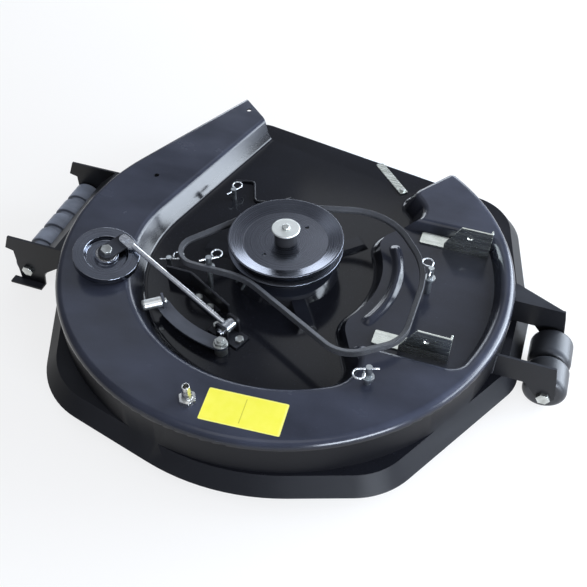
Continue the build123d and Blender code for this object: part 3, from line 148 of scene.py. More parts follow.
# Camera of the photograph: its place over the near side of the deck and its own axes, with the
# slight roll that the picture has.
CAMERA_PLACE = (0.3445, -0.9800, 1.103)
CAMERA_BACK = Vector((0.2237, -0.6497, 0.7266)).normalized()
CAMERA_RIGHT = Vector((0.9455, 0.3256, 0.0)).normalized()
CAMERA_ROLL = radians(0.5)
CAMERA_LENS = 49.06
camera_data = bpy.data.cameras.new("photo_camera")
camera_data.lens = CAMERA_LENS
camera = bpy.data.objects.new("photo_camera", camera_data)
right = CAMERA_RIGHT * cos(CAMERA_ROLL) + CAMERA_BACK.cross(CAMERA_RIGHT) * sin(CAMERA_ROLL)
up = CAMERA_BACK.cross(right)
camera_axes = Matrix((right, up, CAMERA_BACK)).transposed().to_4x4()
camera.matrix_world = Matrix.Translation(CAMERA_PLACE) @ camera_axes
scene.collection.objects.link(camera)
scene.camera = camera

# Deck shell: one deep-drawn steel pressing in gloss black enamel, sprayed and baked.
# The coat has a fine orange peel. The high ring takes a bluish haze, partly settled dust and partly a
# painted reflection of the sky; the hollows keep their black. The steep skirt and apron take a darker
# copy of the coat, duller, less reflective and with darker dust: painted shade.
RING_DUST_AND_SHEEN_LOW = 0.100
RING_DUST_AND_SHEEN_HIGH = 0.131
ANY_LOW = -2.0
ANY_HIGH = -1.0
FACING_RANGE = (0.1, 0.95, 0.08, 1.0)
HOLLOW_DUST_AND_SHEEN = 0.12
SMEAR_RANGE = (0.2, 0.85, 0.3, 1.0)
SMEAR_DETAIL = 6.0
SMEAR_STRETCH = (1.0, 1.8, 1.0)
SPECK_RANGE = (0.68, 0.8, 0.0, 0.25)
SPECK_DETAIL = 2.0
SPECK_FINENESS = 70.0
SPECK_GAIN = 2.2
SPECK_LIFT = 0.02
HAZE_DULLS = 0.2
PEEL_DETAIL = 2.0
MERGE_DISTANCE = 1e-5
FLAT_ANGLE = radians(0.05)


def effect_group(name, inputs, outputs):
    """Empty shader group with float inputs and float outputs."""
    group = bpy.data.node_groups.new(name, "ShaderNodeTree")
    for label, value in inputs.items():
        socket = group.interface.new_socket(label, in_out="INPUT", socket_type="NodeSocketFloat")
        socket.default_value = value
    for label in outputs:
        group.interface.new_socket(label, in_out="OUTPUT", socket_type="NodeSocketFloat")
    return group, group.nodes.new("NodeGroupInput"), group.nodes.new("NodeGroupOutput")


def joined(tree, operation, *values):
    """Math node on values that are numbers or sockets."""
    node = tree.nodes.new("ShaderNodeMath")
    node.operation = operation
    for socket, value in zip(node.inputs, values):
        if isinstance(value, (int, float)):
            socket.default_value = value
        else:
            tree.links.new(value, socket)
    return node.outputs[0]


def ranged(tree, value, low, high, to_low=0.0, to_high=1.0):
    """A value stretched from one range to another and clamped, each end a number or a socket."""
    node = tree.nodes.new("ShaderNodeMapRange")
    ends = {"Value": value, "From Min": low, "From Max": high, "To Min": to_low, "To Max": to_high}
    for label, end in ends.items():
        if isinstance(end, (int, float)):
            node.inputs[label].default_value = end
        else:
            tree.links.new(end, node.inputs[label])
    return node.outputs["Result"]


def noise_in(tree, scale, detail=3.0, stretch=(1.0, 1.0, 1.0)):
    """Noise on object coordinates, its scale a number or a socket."""
    coordinates = tree.nodes.new("ShaderNodeTexCoord")
    mapping = tree.nodes.new("ShaderNodeMapping")
    mapping.inputs["Scale"].default_value = stretch
    noise = tree.nodes.new("ShaderNodeTexNoise")
    noise.inputs["Detail"].default_value = detail
    tree.links.new(coordinates.outputs["Object"], mapping.inputs["Vector"])
    tree.links.new(mapping.outputs["Vector"], noise.inputs["Vector"])
    if isinstance(scale, (int, float)):
        noise.inputs["Scale"].default_value = scale
    else:
        tree.links.new(scale, noise.inputs["Scale"])
    return noise.outputs["Fac"]


# Group for smears on faces that look up, from a height upwards, with specks of settled dust; on the
# deck's high ring and the front roller the smear colour is partly a painted reflection.
dust_and_sheen_group, dust_and_sheen_in, dust_and_sheen_out = effect_group(
    "dust_and_sheen_group", {"Scale": 6.0, "Amount": 0.5, "Low": ANY_LOW, "High": ANY_HIGH}, ("Mask", "Speckle")
)
facing = dust_and_sheen_group.nodes.new("ShaderNodeNewGeometry")
facing_axes = dust_and_sheen_group.nodes.new("ShaderNodeSeparateXYZ")
dust_and_sheen_group.links.new(facing.outputs["Normal"], facing_axes.inputs[0])
upward = ranged(dust_and_sheen_group, facing_axes.outputs["Z"], *FACING_RANGE)
spot = dust_and_sheen_group.nodes.new("ShaderNodeTexCoord")
spot_axes = dust_and_sheen_group.nodes.new("ShaderNodeSeparateXYZ")
dust_and_sheen_group.links.new(spot.outputs["Object"], spot_axes.inputs[0])
level = ranged(dust_and_sheen_group, spot_axes.outputs["Z"], dust_and_sheen_in.outputs["Low"], dust_and_sheen_in.outputs["High"], HOLLOW_DUST_AND_SHEEN)
smear_noise = noise_in(dust_and_sheen_group, dust_and_sheen_in.outputs["Scale"], SMEAR_DETAIL, SMEAR_STRETCH)
smear = ranged(dust_and_sheen_group, smear_noise, *SMEAR_RANGE)
cover = joined(dust_and_sheen_group, "MULTIPLY", joined(dust_and_sheen_group, "MULTIPLY", smear, upward), level)
dust_and_sheen_group.links.new(joined(dust_and_sheen_group, "MULTIPLY", cover, dust_and_sheen_in.outputs["Amount"]), dust_and_sheen_out.inputs["Mask"])
fine = joined(dust_and_sheen_group, "MULTIPLY", dust_and_sheen_in.outputs["Scale"], SPECK_FINENESS)
settled = ranged(dust_and_sheen_group, noise_in(dust_and_sheen_group, fine, SPECK_DETAIL), *SPECK_RANGE)
specks = joined(dust_and_sheen_group, "MULTIPLY", settled, upward)
dust_and_sheen_group.links.new(joined(dust_and_sheen_group, "MULTIPLY", specks, dust_and_sheen_in.outputs["Amount"]), dust_and_sheen_out.inputs["Speckle"])

# peel: the fine relief of sprayed paint and of moulded skins
peel, peel_in, peel_out = effect_group("peel", {"Scale": 420.0}, ("Height",))
peel.links.new(noise_in(peel, peel_in.outputs["Scale"], PEEL_DETAIL), peel_out.inputs["Height"])


def placed(tree, group, **values):
    """One use of an effect group in a material, with its own values."""
    node = tree.nodes.new("ShaderNodeGroup")
    node.node_tree = group
    for label, value in values.items():
        node.inputs[label].default_value = value
    return node


def blended(tree, mask, plain, over):
    """Colour that goes from one to another with a mask; either colour may be a socket."""
    node = tree.nodes.new("ShaderNodeMix")
    node.data_type = "RGBA"
    for label, colour in (("A", plain), ("B", over)):
        if isinstance(colour, tuple):
            node.inputs[label].default_value = (*colour, 1.0)
        else:
            tree.links.new(colour, node.inputs[label])
    tree.links.new(mask, node.inputs["Factor"])
    return node.outputs["Result"]


def relief(tree, height, depth, surface):
    """Bump of a real depth into a shader's normal."""
    bump = tree.nodes.new("ShaderNodeBump")
    bump.inputs["Distance"].default_value = depth
    tree.links.new(height, bump.inputs["Height"])
    tree.links.new(bump.outputs["Normal"], surface.inputs["Normal"])


def new_finish(name):
    """Material with its tree and its surface shader."""
    material = bpy.data.materials.new(name)
    material.use_nodes = True
    return material, material.node_tree, material.node_tree.nodes["Principled BSDF"]


def sprayed(
    name, paint, dust_and_sheen_colour, roughness, haze_scale, haze_amount, peel_depth, low=ANY_LOW, high=ANY_HIGH, ior=1.42
):
    """Sprayed enamel or moulded skin: a dark colour, hazed and lightly dusted, with its peel.
    For some coats the pale haze colour is partly a painted reflection.
    """
    material, tree, surface = new_finish(name)
    surface.inputs["IOR"].default_value = ior
    dust_and_sheen_node = placed(tree, dust_and_sheen_group, Scale=haze_scale, Amount=haze_amount, Low=low, High=high)
    hazed = blended(tree, dust_and_sheen_node.outputs["Mask"], paint, dust_and_sheen_colour)
    speck = tuple(min(1.0, SPECK_GAIN * part + SPECK_LIFT) for part in dust_and_sheen_colour)
    tree.links.new(blended(tree, dust_and_sheen_node.outputs["Speckle"], hazed, speck), surface.inputs["Base Color"])
    dulled = ranged(tree, dust_and_sheen_node.outputs["Mask"], 0.0, 1.0, roughness, roughness + HAZE_DULLS)
    tree.links.new(dulled, surface.inputs["Roughness"])
    skin = placed(tree, peel)
    relief(tree, skin.outputs["Height"], peel_depth, surface)
    return material


def merged(node):
    """A CAD piece's own faces with the doubled points merged and flat neighbours joined."""
    shape = bmesh.new()
    shape.from_mesh(frame["nodes"][node].data)
    bmesh.ops.remove_doubles(shape, verts=shape.verts, dist=MERGE_DISTANCE)
    bmesh.ops.dissolve_limit(
        shape, angle_limit=FLAT_ANGLE, verts=shape.verts, edges=shape.edges, delimit={"NORMAL"}
    )
    return shape


def dressed(node, material, edge_round=0.0006, crease=32.0, round_from=0.0):
    """A CAD piece carried over with its edges rounded and its curves shaded smooth."""
    shape = merged(node)
    mesh = bpy.data.meshes.new(f"{node}_finished")
    shape.to_mesh(mesh)
    shape.free()
    mesh.shade_smooth()
    mesh.set_sharp_from_angle(angle=radians(crease))
    mesh.materials.append(material)
    piece = bpy.data.objects.new(f"{node}_finished", mesh)
    scene.collection.objects.link(piece)
    if edge_round:
        corner = piece.modifiers.new("edge_round", "BEVEL")
        corner.width = edge_round
        corner.segments = 2
        corner.limit_method = "ANGLE"
        corner.angle_limit = radians(max(crease, round_from))
        corner.harden_normals = True
    normals = piece.modifiers.new("even_normals", "WEIGHTED_NORMAL")
    normals.keep_sharp = True
    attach(piece, frame["nodes"][node]["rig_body"])
    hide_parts(node)
    return piece


DECK_PAINT = (0.0045, 0.0045, 0.0055)
# The ring's pale bluish dust colour is partly settled dust and partly a painted reflection of the sky.
gloss_black = sprayed(
    "gloss_black_enamel", paint=DECK_PAINT, dust_and_sheen_colour=(0.054, 0.060, 0.088), roughness=0.12, haze_scale=7.0,
    haze_amount=1.0, peel_depth=0.00001, low=RING_DUST_AND_SHEEN_LOW, high=RING_DUST_AND_SHEEN_HIGH, ior=1.38,
)
# Darker copy of the enamel for the steep skirt and apron: duller, less reflective, darker dust, as painted
# shade.
skirt_shaded_black = sprayed(
    "skirt_enamel_painted_shade", paint=DECK_PAINT, dust_and_sheen_colour=(0.03, 0.031, 0.036), roughness=0.38, haze_scale=7.0,
    haze_amount=0.6, peel_depth=0.00001, ior=1.2,
)
low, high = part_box("spindle_shaft")
spindle = Vector(((low[0] + high[0]) / 2, (low[1] + high[1]) / 2, 0.0))
SKIRT_INSIDE = 0.388
SKIRT_STEEP = 0.05
APRON_TOP = 0.1
shell = dressed("deck_shell", gloss_black, edge_round=0.0008, crease=27.0, round_from=48.0)
# Faces of the skirt and apron take the darker copy of the enamel: painted shade.
shell.data.materials.append(skirt_shaded_black)
for face in shell.data.polygons:
    outside = (face.center - spindle).xy.length > SKIRT_INSIDE
    if outside and (face.normal.z < SKIRT_STEEP or face.center.z < APRON_TOP):
        face.material_index = 1

# Bead along the ledge behind the pan: a shallow stiffening ridge rolled up out of the same
# sheet, fading out at both ends, under the same coat.
LEDGE_TOP = 0.113
BEAD_RADIUS = 0.1985
BEAD_HALF_WIDTH = 0.013
BEAD_HEIGHT = 0.0062
BEAD_HALF_ANGLE = radians(31.0)
BEAD_FADE_SHARE = 0.16
BEAD_SINK = 0.0003
BEAD_CREASE = radians(50.0)
BEAD_STATIONS = 72
BEAD_STEPS = 16
shape = bmesh.new()
stations = []
for station in range(BEAD_STATIONS + 1):
    share = 2 * station / BEAD_STATIONS - 1
    angle = share * BEAD_HALF_ANGLE
    fade = min(1.0, (1 - abs(share)) / BEAD_FADE_SHARE)
    lift = BEAD_HEIGHT * (0.5 - 0.5 * cos(pi * fade))
    ring = []
    for step in range(BEAD_STEPS + 1):
        across = 2 * step / BEAD_STEPS - 1
        radius = BEAD_RADIUS + across * BEAD_HALF_WIDTH
        height = LEDGE_TOP - BEAD_SINK + lift * (0.5 + 0.5 * cos(pi * across))
        ring.append(shape.verts.new(spindle + Vector((radius * cos(angle), radius * sin(angle), height))))
    for across in (1, -1):
        radius = BEAD_RADIUS + across * BEAD_HALF_WIDTH
        foot = Vector((radius * cos(angle), radius * sin(angle), LEDGE_TOP - 3 * BEAD_SINK))
        ring.append(shape.verts.new(spindle + foot))
    stations.append(ring)
shape.faces.new(stations[0])
shape.faces.new(stations[-1][::-1])
for here, ahead in zip(stations, stations[1:]):
    for step in range(len(here)):
        after = (step + 1) % len(here)
        shape.faces.new((here[step], here[after], ahead[after], ahead[step]))
bmesh.ops.recalc_face_normals(shape, faces=shape.faces)
mesh = bpy.data.meshes.new("ledge_bead")
shape.to_mesh(mesh)
shape.free()
mesh.shade_smooth()
mesh.set_sharp_from_angle(angle=BEAD_CREASE)
mesh.materials.append(gloss_black)
bead = bpy.data.objects.new("ledge_bead", mesh)
scene.collection.objects.link(bead)
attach(bead, frame["nodes"]["deck_shell"]["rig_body"])

# Sticker on the near side of the ring: printed vinyl film, cut square with small round corners
# and pressed on by hand. Its plain yellow is split by one thin printed rule into two blank fields.
RING_TOP = 0.133
STICKER_SIZE = (0.124, 0.058)
STICKER_PLACE = Vector((0.0565, -0.3405, RING_TOP))
STICKER_TURN = radians(4.6)
STICKER_CORNER = 0.0025
STICKER_FILM = 0.00018
CORNER_STEPS = 6
RULE_PLACE = 0.49
RULE_HALF_WIDTH = 0.006
RULE_HALF_LENGTH = 0.38
MARGIN_FROM_RULE = 0.484
MARGIN_FROM_MIDDLE = 0.468
FADE_SCALE = 60.0
FADE_DETAIL = 4.0
FADE_RANGE = (0.35, 0.7)
FRESH_INK = (0.94, 0.86, 0.075)
FADED_INK = (0.97, 0.89, 0.11)
RULE_INK = (0.62, 0.56, 0.05)
MARGIN_INK = (0.96, 0.89, 0.2)
VINYL_GRAIN = 260.0
VINYL_DEPTH = 0.00002
half_x, half_y = STICKER_SIZE[0] / 2, STICKER_SIZE[1] / 2
outline = []
for quarter, (side_x, side_y) in enumerate(((1, 1), (-1, 1), (-1, -1), (1, -1))):
    for step in range(CORNER_STEPS + 1):
        angle = (quarter + step / CORNER_STEPS) * pi / 2
        outline.append((
            side_x * (half_x - STICKER_CORNER) + STICKER_CORNER * cos(angle),
            side_y * (half_y - STICKER_CORNER) + STICKER_CORNER * sin(angle),
        ))
shape = bmesh.new()
laid = Matrix.Translation(spindle + STICKER_PLACE) @ Matrix.Rotation(STICKER_TURN, 4, "Z")
rows = [[shape.verts.new(laid @ Vector((x, y, z))) for x, y in outline] for z in (0.0, STICKER_FILM)]
shape.faces.new(rows[0][::-1])
shape.faces.new(rows[1])
for here in range(len(outline)):
    after = (here + 1) % len(outline)
    shape.faces.new((rows[0][here], rows[0][after], rows[1][after], rows[1][here]))
print_map = shape.loops.layers.uv.new("print")
for face in shape.faces:
    for corner in face.loops:
        flat = laid.inverted() @ corner.vert.co
        corner[print_map].uv = (flat.x / STICKER_SIZE[0] + 0.5, flat.y / STICKER_SIZE[1] + 0.5)
mesh = bpy.data.meshes.new("ring_sticker")
shape.to_mesh(mesh)
shape.free()
vinyl, tree, surface = new_finish("yellow_vinyl")
surface.inputs["Roughness"].default_value = 0.34
surface.inputs["IOR"].default_value = 1.4
print_at = tree.nodes.new("ShaderNodeUVMap")
print_at.uv_map = "print"
print_axes = tree.nodes.new("ShaderNodeSeparateXYZ")
tree.links.new(print_at.outputs["UV"], print_axes.inputs[0])
from_rule = joined(tree, "ABSOLUTE", joined(tree, "SUBTRACT", print_axes.outputs["X"], RULE_PLACE))
from_middle = joined(tree, "ABSOLUTE", joined(tree, "SUBTRACT", print_axes.outputs["Y"], 0.5))
rule_width = joined(tree, "LESS_THAN", from_rule, RULE_HALF_WIDTH)
rule_length = joined(tree, "LESS_THAN", from_middle, RULE_HALF_LENGTH)
rule = joined(tree, "MULTIPLY", rule_width, rule_length)
edge_x = joined(tree, "GREATER_THAN", from_rule, MARGIN_FROM_RULE)
edge_y = joined(tree, "GREATER_THAN", from_middle, MARGIN_FROM_MIDDLE)
margin = joined(tree, "MAXIMUM", edge_x, edge_y)
faded = ranged(tree, noise_in(tree, FADE_SCALE, FADE_DETAIL), *FADE_RANGE)
ruled = blended(tree, rule, blended(tree, faded, FRESH_INK, FADED_INK), RULE_INK)
tree.links.new(blended(tree, margin, ruled, MARGIN_INK), surface.inputs["Base Color"])
skin = placed(tree, peel, Scale=VINYL_GRAIN)
relief(tree, skin.outputs["Height"], VINYL_DEPTH, surface)
mesh.materials.append(vinyl)
sticker = bpy.data.objects.new("ring_sticker", mesh)
scene.collection.objects.link(sticker)
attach(sticker, frame["nodes"]["deck_shell"]["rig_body"])

# Roller brackets: laser-cut steel plate, bent and welded to the skirt of the deck, then
# powder coated with it in satin black.
satin_black = sprayed(
    "satin_black_powder", paint=(0.007, 0.007, 0.008), dust_and_sheen_colour=(0.05, 0.053, 0.065), roughness=0.3,
    haze_scale=16.0, haze_amount=0.6, peel_depth=0.00003, ior=1.3,
)
for node in ("front_bracket", "rear_plate_near", "rear_plate_far"):
    dressed(node, satin_black)

# Weld beads where the bracket plates meet the skirt: overlapping drops of weld metal laid by
# hand along each root, under the same black coat.
SKIRT_RADIUS = 0.3992
WELD_RADIUS = 0.0024
WELD_STEP = 0.0026
WELD_SEED = 7
WELD_DROP_LEVEL = 3
WELD_LEAST = (0.8, 0.8, 0.55)
WELD_MOST = (1.15, 1.15, 0.8)
WELD_LOW = 0.064
WELD_HIGH = 0.106
PANEL_TOP = 0.109
PANEL_STEPS = 24
FRONT, REAR = -1, 1
PLATE_ROOTS = ((REAR, -0.0885), (REAR, -0.0835), (REAR, 0.0405), (FRONT, -0.1125), (FRONT, 0.1265))
PANEL_ROOTS = ((FRONT, -0.104, 0.118), (REAR, 0.048, 0.08))


def geometry_tree(name, inputs):
    """Geometry tree with named inputs; gives the tree, its first node and its last."""
    tree = bpy.data.node_groups.new(name, "GeometryNodeTree")
    tree.interface.new_socket("Geometry", in_out="INPUT", socket_type="NodeSocketGeometry")
    for label, kind in inputs.items():
        tree.interface.new_socket(label, in_out="INPUT", socket_type=kind)
    tree.interface.new_socket("Geometry", in_out="OUTPUT", socket_type="NodeSocketGeometry")
    return tree, tree.nodes.new("NodeGroupInput"), tree.nodes.new("NodeGroupOutput")


def grown(name, mesh, tree, values):
    """Piece that a geometry tree grows from a seed mesh, baked to plain faces."""
    piece = bpy.data.objects.new(name, mesh)
    scene.collection.objects.link(piece)
    growth = piece.modifiers.new("growth", "NODES")
    growth.node_group = tree
    named = {item.name: item.identifier for item in tree.interface.items_tree if item.in_out == "INPUT"}
    for label, value in values.items():
        growth[named[label]] = value
    graph = bpy.context.evaluated_depsgraph_get()
    baked = bpy.data.meshes.new_from_object(piece.evaluated_get(graph), depsgraph=graph)
    piece.modifiers.clear()
    piece.data = baked
    return piece


weld_tree, first, last = geometry_tree("weld_bead", {
    "Bead Radius": "NodeSocketFloat", "Step": "NodeSocketFloat", "Seed": "NodeSocketInt",
    "Finish": "NodeSocketMaterial",
})
along = weld_tree.nodes.new("GeometryNodeMeshToCurve")
spaced = weld_tree.nodes.new("GeometryNodeCurveToPoints")
spaced.mode = "LENGTH"
drop = weld_tree.nodes.new("GeometryNodeMeshIcoSphere")
drop.inputs["Subdivisions"].default_value = WELD_DROP_LEVEL
vary = weld_tree.nodes.new("FunctionNodeRandomValue")
vary.data_type = "FLOAT_VECTOR"
vary.inputs["Min"].default_value = WELD_LEAST
vary.inputs["Max"].default_value = WELD_MOST
smooth = weld_tree.nodes.new("GeometryNodeSetShadeSmooth")
laid_drops = weld_tree.nodes.new("GeometryNodeInstanceOnPoints")
solid = weld_tree.nodes.new("GeometryNodeRealizeInstances")
finish = weld_tree.nodes.new("GeometryNodeSetMaterial")
for start, end in (
    (first.outputs["Geometry"], along.inputs["Mesh"]),
    (along.outputs["Curve"], spaced.inputs["Curve"]),
    (first.outputs["Step"], spaced.inputs["Length"]),
    (first.outputs["Bead Radius"], drop.inputs["Radius"]),
    (first.outputs["Seed"], vary.inputs["Seed"]),
    (spaced.outputs["Points"], laid_drops.inputs["Points"]),
    (spaced.outputs["Rotation"], laid_drops.inputs["Rotation"]),
    (drop.outputs["Mesh"], smooth.inputs["Geometry"]),
    (smooth.outputs["Geometry"], laid_drops.inputs["Instance"]),
    (vary.outputs["Value"], laid_drops.inputs["Scale"]),
    (laid_drops.outputs["Instances"], solid.inputs["Geometry"]),
    (solid.outputs["Geometry"], finish.inputs["Geometry"]),
    (first.outputs["Finish"], finish.inputs["Material"]),
    (finish.outputs["Geometry"], last.inputs["Geometry"]),
):
    weld_tree.links.new(start, end)


def skirt_point(y, z, side):
    """Point on the skirt at a distance beside the spindle, towards the front or the rear."""
    return spindle + Vector((side * sqrt(SKIRT_RADIUS ** 2 - y ** 2), y, z))


weld_lines = []
for side, y in PLATE_ROOTS:
    weld_lines.append([skirt_point(y, z, side) for z in (WELD_LOW, WELD_HIGH)])
for side, start, end in PANEL_ROOTS:
    runs = [start + (end - start) * step / PANEL_STEPS for step in range(PANEL_STEPS + 1)]
    weld_lines.append([skirt_point(y, PANEL_TOP, side) for y in runs])
points, edges = [], []
for line in weld_lines:
    edges += [(len(points) + here, len(points) + here + 1) for here in range(len(line) - 1)]
    points += line
seed = bpy.data.meshes.new("weld_lines")
seed.from_pydata(points, edges, [])
welds = grown("weld_beads", seed, weld_tree, {
    "Bead Radius": WELD_RADIUS, "Step": WELD_STEP, "Seed": WELD_SEED, "Finish": satin_black,
})
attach(welds, frame["nodes"]["deck_shell"]["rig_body"])

# Anti-scalp rollers: moulded black polymer sleeves, the long front one coloured lighter, most on its top
# faces, as a painted reflection of the sky, turning on plain zinc-plated axle bolts with nuts.
ROLLER_EDGE = 0.0015
NUT_EDGE = 0.0008
BRUSH_STRETCH = (0.06, 1.0, 1.0)
BRUSH_DETAIL = 4.0
CLOUD_COARSENESS = 0.12
CLOUD_RANGE = (0.35, 0.65)
STREAK_RANGE = (0.3, 0.7)
STREAK_DULLS = 0.14
roller_skin = sprayed(
    "roller_polymer", paint=(0.014, 0.014, 0.016), dust_and_sheen_colour=(0.042, 0.047, 0.057), roughness=0.36,
    haze_scale=20.0, haze_amount=0.75, peel_depth=0.00005,
)
for node in ("rear_roller_near", "rear_roller_far"):
    dressed(node, roller_skin, ROLLER_EDGE)
# Front roller: lighter blue-grey colour, palest on faces that look up, as a painted reflection of the sky.
top_highlight_skin = sprayed(
    "polymer_painted_highlight", paint=(0.11, 0.12, 0.145), dust_and_sheen_colour=(0.46, 0.51, 0.62), roughness=0.34, haze_scale=26.0,
    haze_amount=1.0, peel_depth=0.00005,
)
dressed("front_roller", top_highlight_skin, ROLLER_EDGE)

# brushing: streaks that rolling, plating or drawing leave in bare metal
brushing, brushing_in, brushing_out = effect_group("brushing", {"Scale": 220.0}, ("Streak", "Cloud"))
streaks = noise_in(brushing, brushing_in.outputs["Scale"], BRUSH_DETAIL, BRUSH_STRETCH)
broad = joined(brushing, "MULTIPLY", brushing_in.outputs["Scale"], CLOUD_COARSENESS)
brushing.links.new(streaks, brushing_out.inputs["Streak"])
brushing.links.new(noise_in(brushing, broad), brushing_out.inputs["Cloud"])


def metal(name, bright, dull, roughness, streak_scale, depth=0.000004):
    """Plated, ground or cast metal with streaks and clouds of a duller tone."""
    material, tree, surface = new_finish(name)
    surface.inputs["Metallic"].default_value = 1.0
    rolled = placed(tree, brushing, Scale=streak_scale)
    cloud = ranged(tree, rolled.outputs["Cloud"], *CLOUD_RANGE)
    tree.links.new(blended(tree, cloud, bright, dull), surface.inputs["Base Color"])
    dulled = ranged(tree, rolled.outputs["Streak"], *STREAK_RANGE, roughness, roughness + STREAK_DULLS)
    tree.links.new(dulled, surface.inputs["Roughness"])
    relief(tree, rolled.outputs["Streak"], depth, surface)
    return material


fastener_zinc = metal(
    "zinc_fastener", bright=(0.66, 0.68, 0.66), dull=(0.42, 0.43, 0.41), roughness=0.28, streak_scale=500.0
)
for node in ("front_axle", "front_axle_nut", "rear_axle", "rear_axle_nut"):
    dressed(node, fastener_zinc, NUT_EDGE)

# Lift brackets: zinc-plated steel strip, sheared and bent, with a narrow flange behind and a
# bolted foot; the plating has a faint yellow-green tone.
strip_zinc = metal(
    "zinc_strip", bright=(0.80, 0.83, 0.78), dull=(0.64, 0.67, 0.61), roughness=0.18, streak_scale=260.0,
    depth=0.0000015,
)
for node in ("lift_bracket_near", "lift_bracket_far"):
    dressed(node, strip_zinc, edge_round=0.0005)

# Bolts and nuts of the lift brackets, spindle housing, pivot, linkage and chute strip: cold-headed
# steel with rolled threads and chamfered hexagons, zinc plated. One tree sets all of them, from
# patterns drawn for a shank of unit radius and unit length.
HEX_ACROSS = 3.3
HEX_HEIGHT = 1.4
CHAMFER_SHARE = 0.97
CHAMFER_SLOPE = 0.577
HEAD_FOOT_SHARE = 0.9
HEAD_FOOT_RISE = 0.04
DISH_EDGE_SHARE = 0.62
DISH_SHARE = 0.55
DISH_DEPTH = 0.07
PLAIN_LENGTH = 0.45
THREAD_LENGTH = 0.5
THREADS = 14
THREAD_ROOT = 0.9
THREAD_CREST = 0.99
SHANK_END = 0.8
ROUND_STEPS = 36
BLOCK_CREASE = radians(28.0)
flat_radius = CHAMFER_SHARE * HEX_ACROSS / 2


def turned_block(name, sections, capped):
    """Closed block from rings of points, each section a function of the angle giving radius and height."""
    shape = bmesh.new()
    rings = []
    for section in sections:
        ring = []
        for step in range(ROUND_STEPS):
            angle = 2 * pi * step / ROUND_STEPS
            radius, height = section(angle)
            ring.append(shape.verts.new((radius * cos(angle), radius * sin(angle), height)))
        rings.append(ring)
    pairs = list(zip(rings, rings[1:]))
    if capped:
        shape.faces.new(rings[0][::-1])
        shape.faces.new(rings[-1])
    else:
        pairs.append((rings[-1], rings[0]))
    for below, above in pairs:
        for step in range(ROUND_STEPS):
            after = (step + 1) % ROUND_STEPS
            shape.faces.new((below[step], below[after], above[after], above[step]))
    bmesh.ops.recalc_face_normals(shape, faces=shape.faces)
    mesh = bpy.data.meshes.new(name)
    shape.to_mesh(mesh)
    shape.free()
    mesh.shade_smooth()
    mesh.set_sharp_from_angle(angle=BLOCK_CREASE)
    return bpy.data.objects.new(name, mesh)


def hexagon_radius(angle):
    """Distance from the axis to a hexagon's side, for a unit shank and corners along X."""
    return HEX_ACROSS / 2 / cos(angle % (pi / 3) - pi / 6)


def chamfer_height(angle):
    """Height of a hexagon's side under its turned chamfer."""
    return HEX_HEIGHT - max(0.0, hexagon_radius(angle) - flat_radius) * CHAMFER_SLOPE


head = turned_block("bolt_head", [
    lambda angle: (HEAD_FOOT_SHARE * flat_radius, 0.0),
    lambda angle: (hexagon_radius(angle), HEAD_FOOT_RISE),
    lambda angle: (hexagon_radius(angle), chamfer_height(angle)),
    lambda angle: (flat_radius, HEX_HEIGHT),
    lambda angle: (DISH_EDGE_SHARE * flat_radius, HEX_HEIGHT),
    lambda angle: (DISH_SHARE * flat_radius, HEX_HEIGHT - DISH_DEPTH),
], capped=True)
nut = turned_block("bolt_nut", [
    lambda angle: (1.0, -HEX_HEIGHT),
    lambda angle: (flat_radius, -HEX_HEIGHT),
    lambda angle: (hexagon_radius(angle), -chamfer_height(angle)),
    lambda angle: (hexagon_radius(angle), 0.0),
    lambda angle: (1.0, 0.0),
], capped=False)
thread = [(1.0, 0.0), (1.0, -PLAIN_LENGTH)]
for turn in range(THREADS):
    start = -PLAIN_LENGTH - THREAD_LENGTH * turn / THREADS
    thread.append((THREAD_ROOT, start - THREAD_LENGTH / 2 / THREADS))
    thread.append((THREAD_CREST, start - THREAD_LENGTH / THREADS))
thread.append((SHANK_END, -1.0))
shank = turned_block("bolt_shank", [lambda angle, ring=ring: ring for ring in thread], capped=True)

bolt_tree, first, last = geometry_tree("bolt_and_nut", {
    "Head": "NodeSocketObject", "Shank": "NodeSocketObject", "Nut": "NodeSocketObject",
    "Finish": "NodeSocketMaterial",
})
together = bolt_tree.nodes.new("GeometryNodeJoinGeometry")
read = {}
for label in ("radius", "grip", "length"):
    named_value = bolt_tree.nodes.new("GeometryNodeInputNamedAttribute")
    named_value.data_type = "FLOAT"
    named_value.inputs["Name"].default_value = label
    read[label] = named_value.outputs["Attribute"]
under = bolt_tree.nodes.new("ShaderNodeMath")
under.operation = "MULTIPLY"
under.inputs[1].default_value = -1.0
bolt_tree.links.new(read["grip"], under.inputs[0])
drop_by = bolt_tree.nodes.new("ShaderNodeCombineXYZ")
bolt_tree.links.new(under.outputs[0], drop_by.inputs["Z"])
lowered = bolt_tree.nodes.new("GeometryNodeSetPosition")
bolt_tree.links.new(first.outputs["Geometry"], lowered.inputs["Geometry"])
bolt_tree.links.new(drop_by.outputs[0], lowered.inputs["Offset"])
for label, seats, tall in (
    ("Head", first.outputs["Geometry"], "radius"),
    ("Shank", first.outputs["Geometry"], "length"),
    ("Nut", lowered.outputs["Geometry"], "radius"),
):
    pattern = bolt_tree.nodes.new("GeometryNodeObjectInfo")
    size = bolt_tree.nodes.new("ShaderNodeCombineXYZ")
    settle = bolt_tree.nodes.new("GeometryNodeInstanceOnPoints")
    bolt_tree.links.new(first.outputs[label], pattern.inputs["Object"])
    bolt_tree.links.new(read["radius"], size.inputs["X"])
    bolt_tree.links.new(read["radius"], size.inputs["Y"])
    bolt_tree.links.new(read[tall], size.inputs["Z"])
    bolt_tree.links.new(seats, settle.inputs["Points"])
    bolt_tree.links.new(pattern.outputs["Geometry"], settle.inputs["Instance"])
    bolt_tree.links.new(size.outputs[0], settle.inputs["Scale"])
    bolt_tree.links.new(settle.outputs["Instances"], together.inputs["Geometry"])
solid = bolt_tree.nodes.new("GeometryNodeRealizeInstances")
finish = bolt_tree.nodes.new("GeometryNodeSetMaterial")
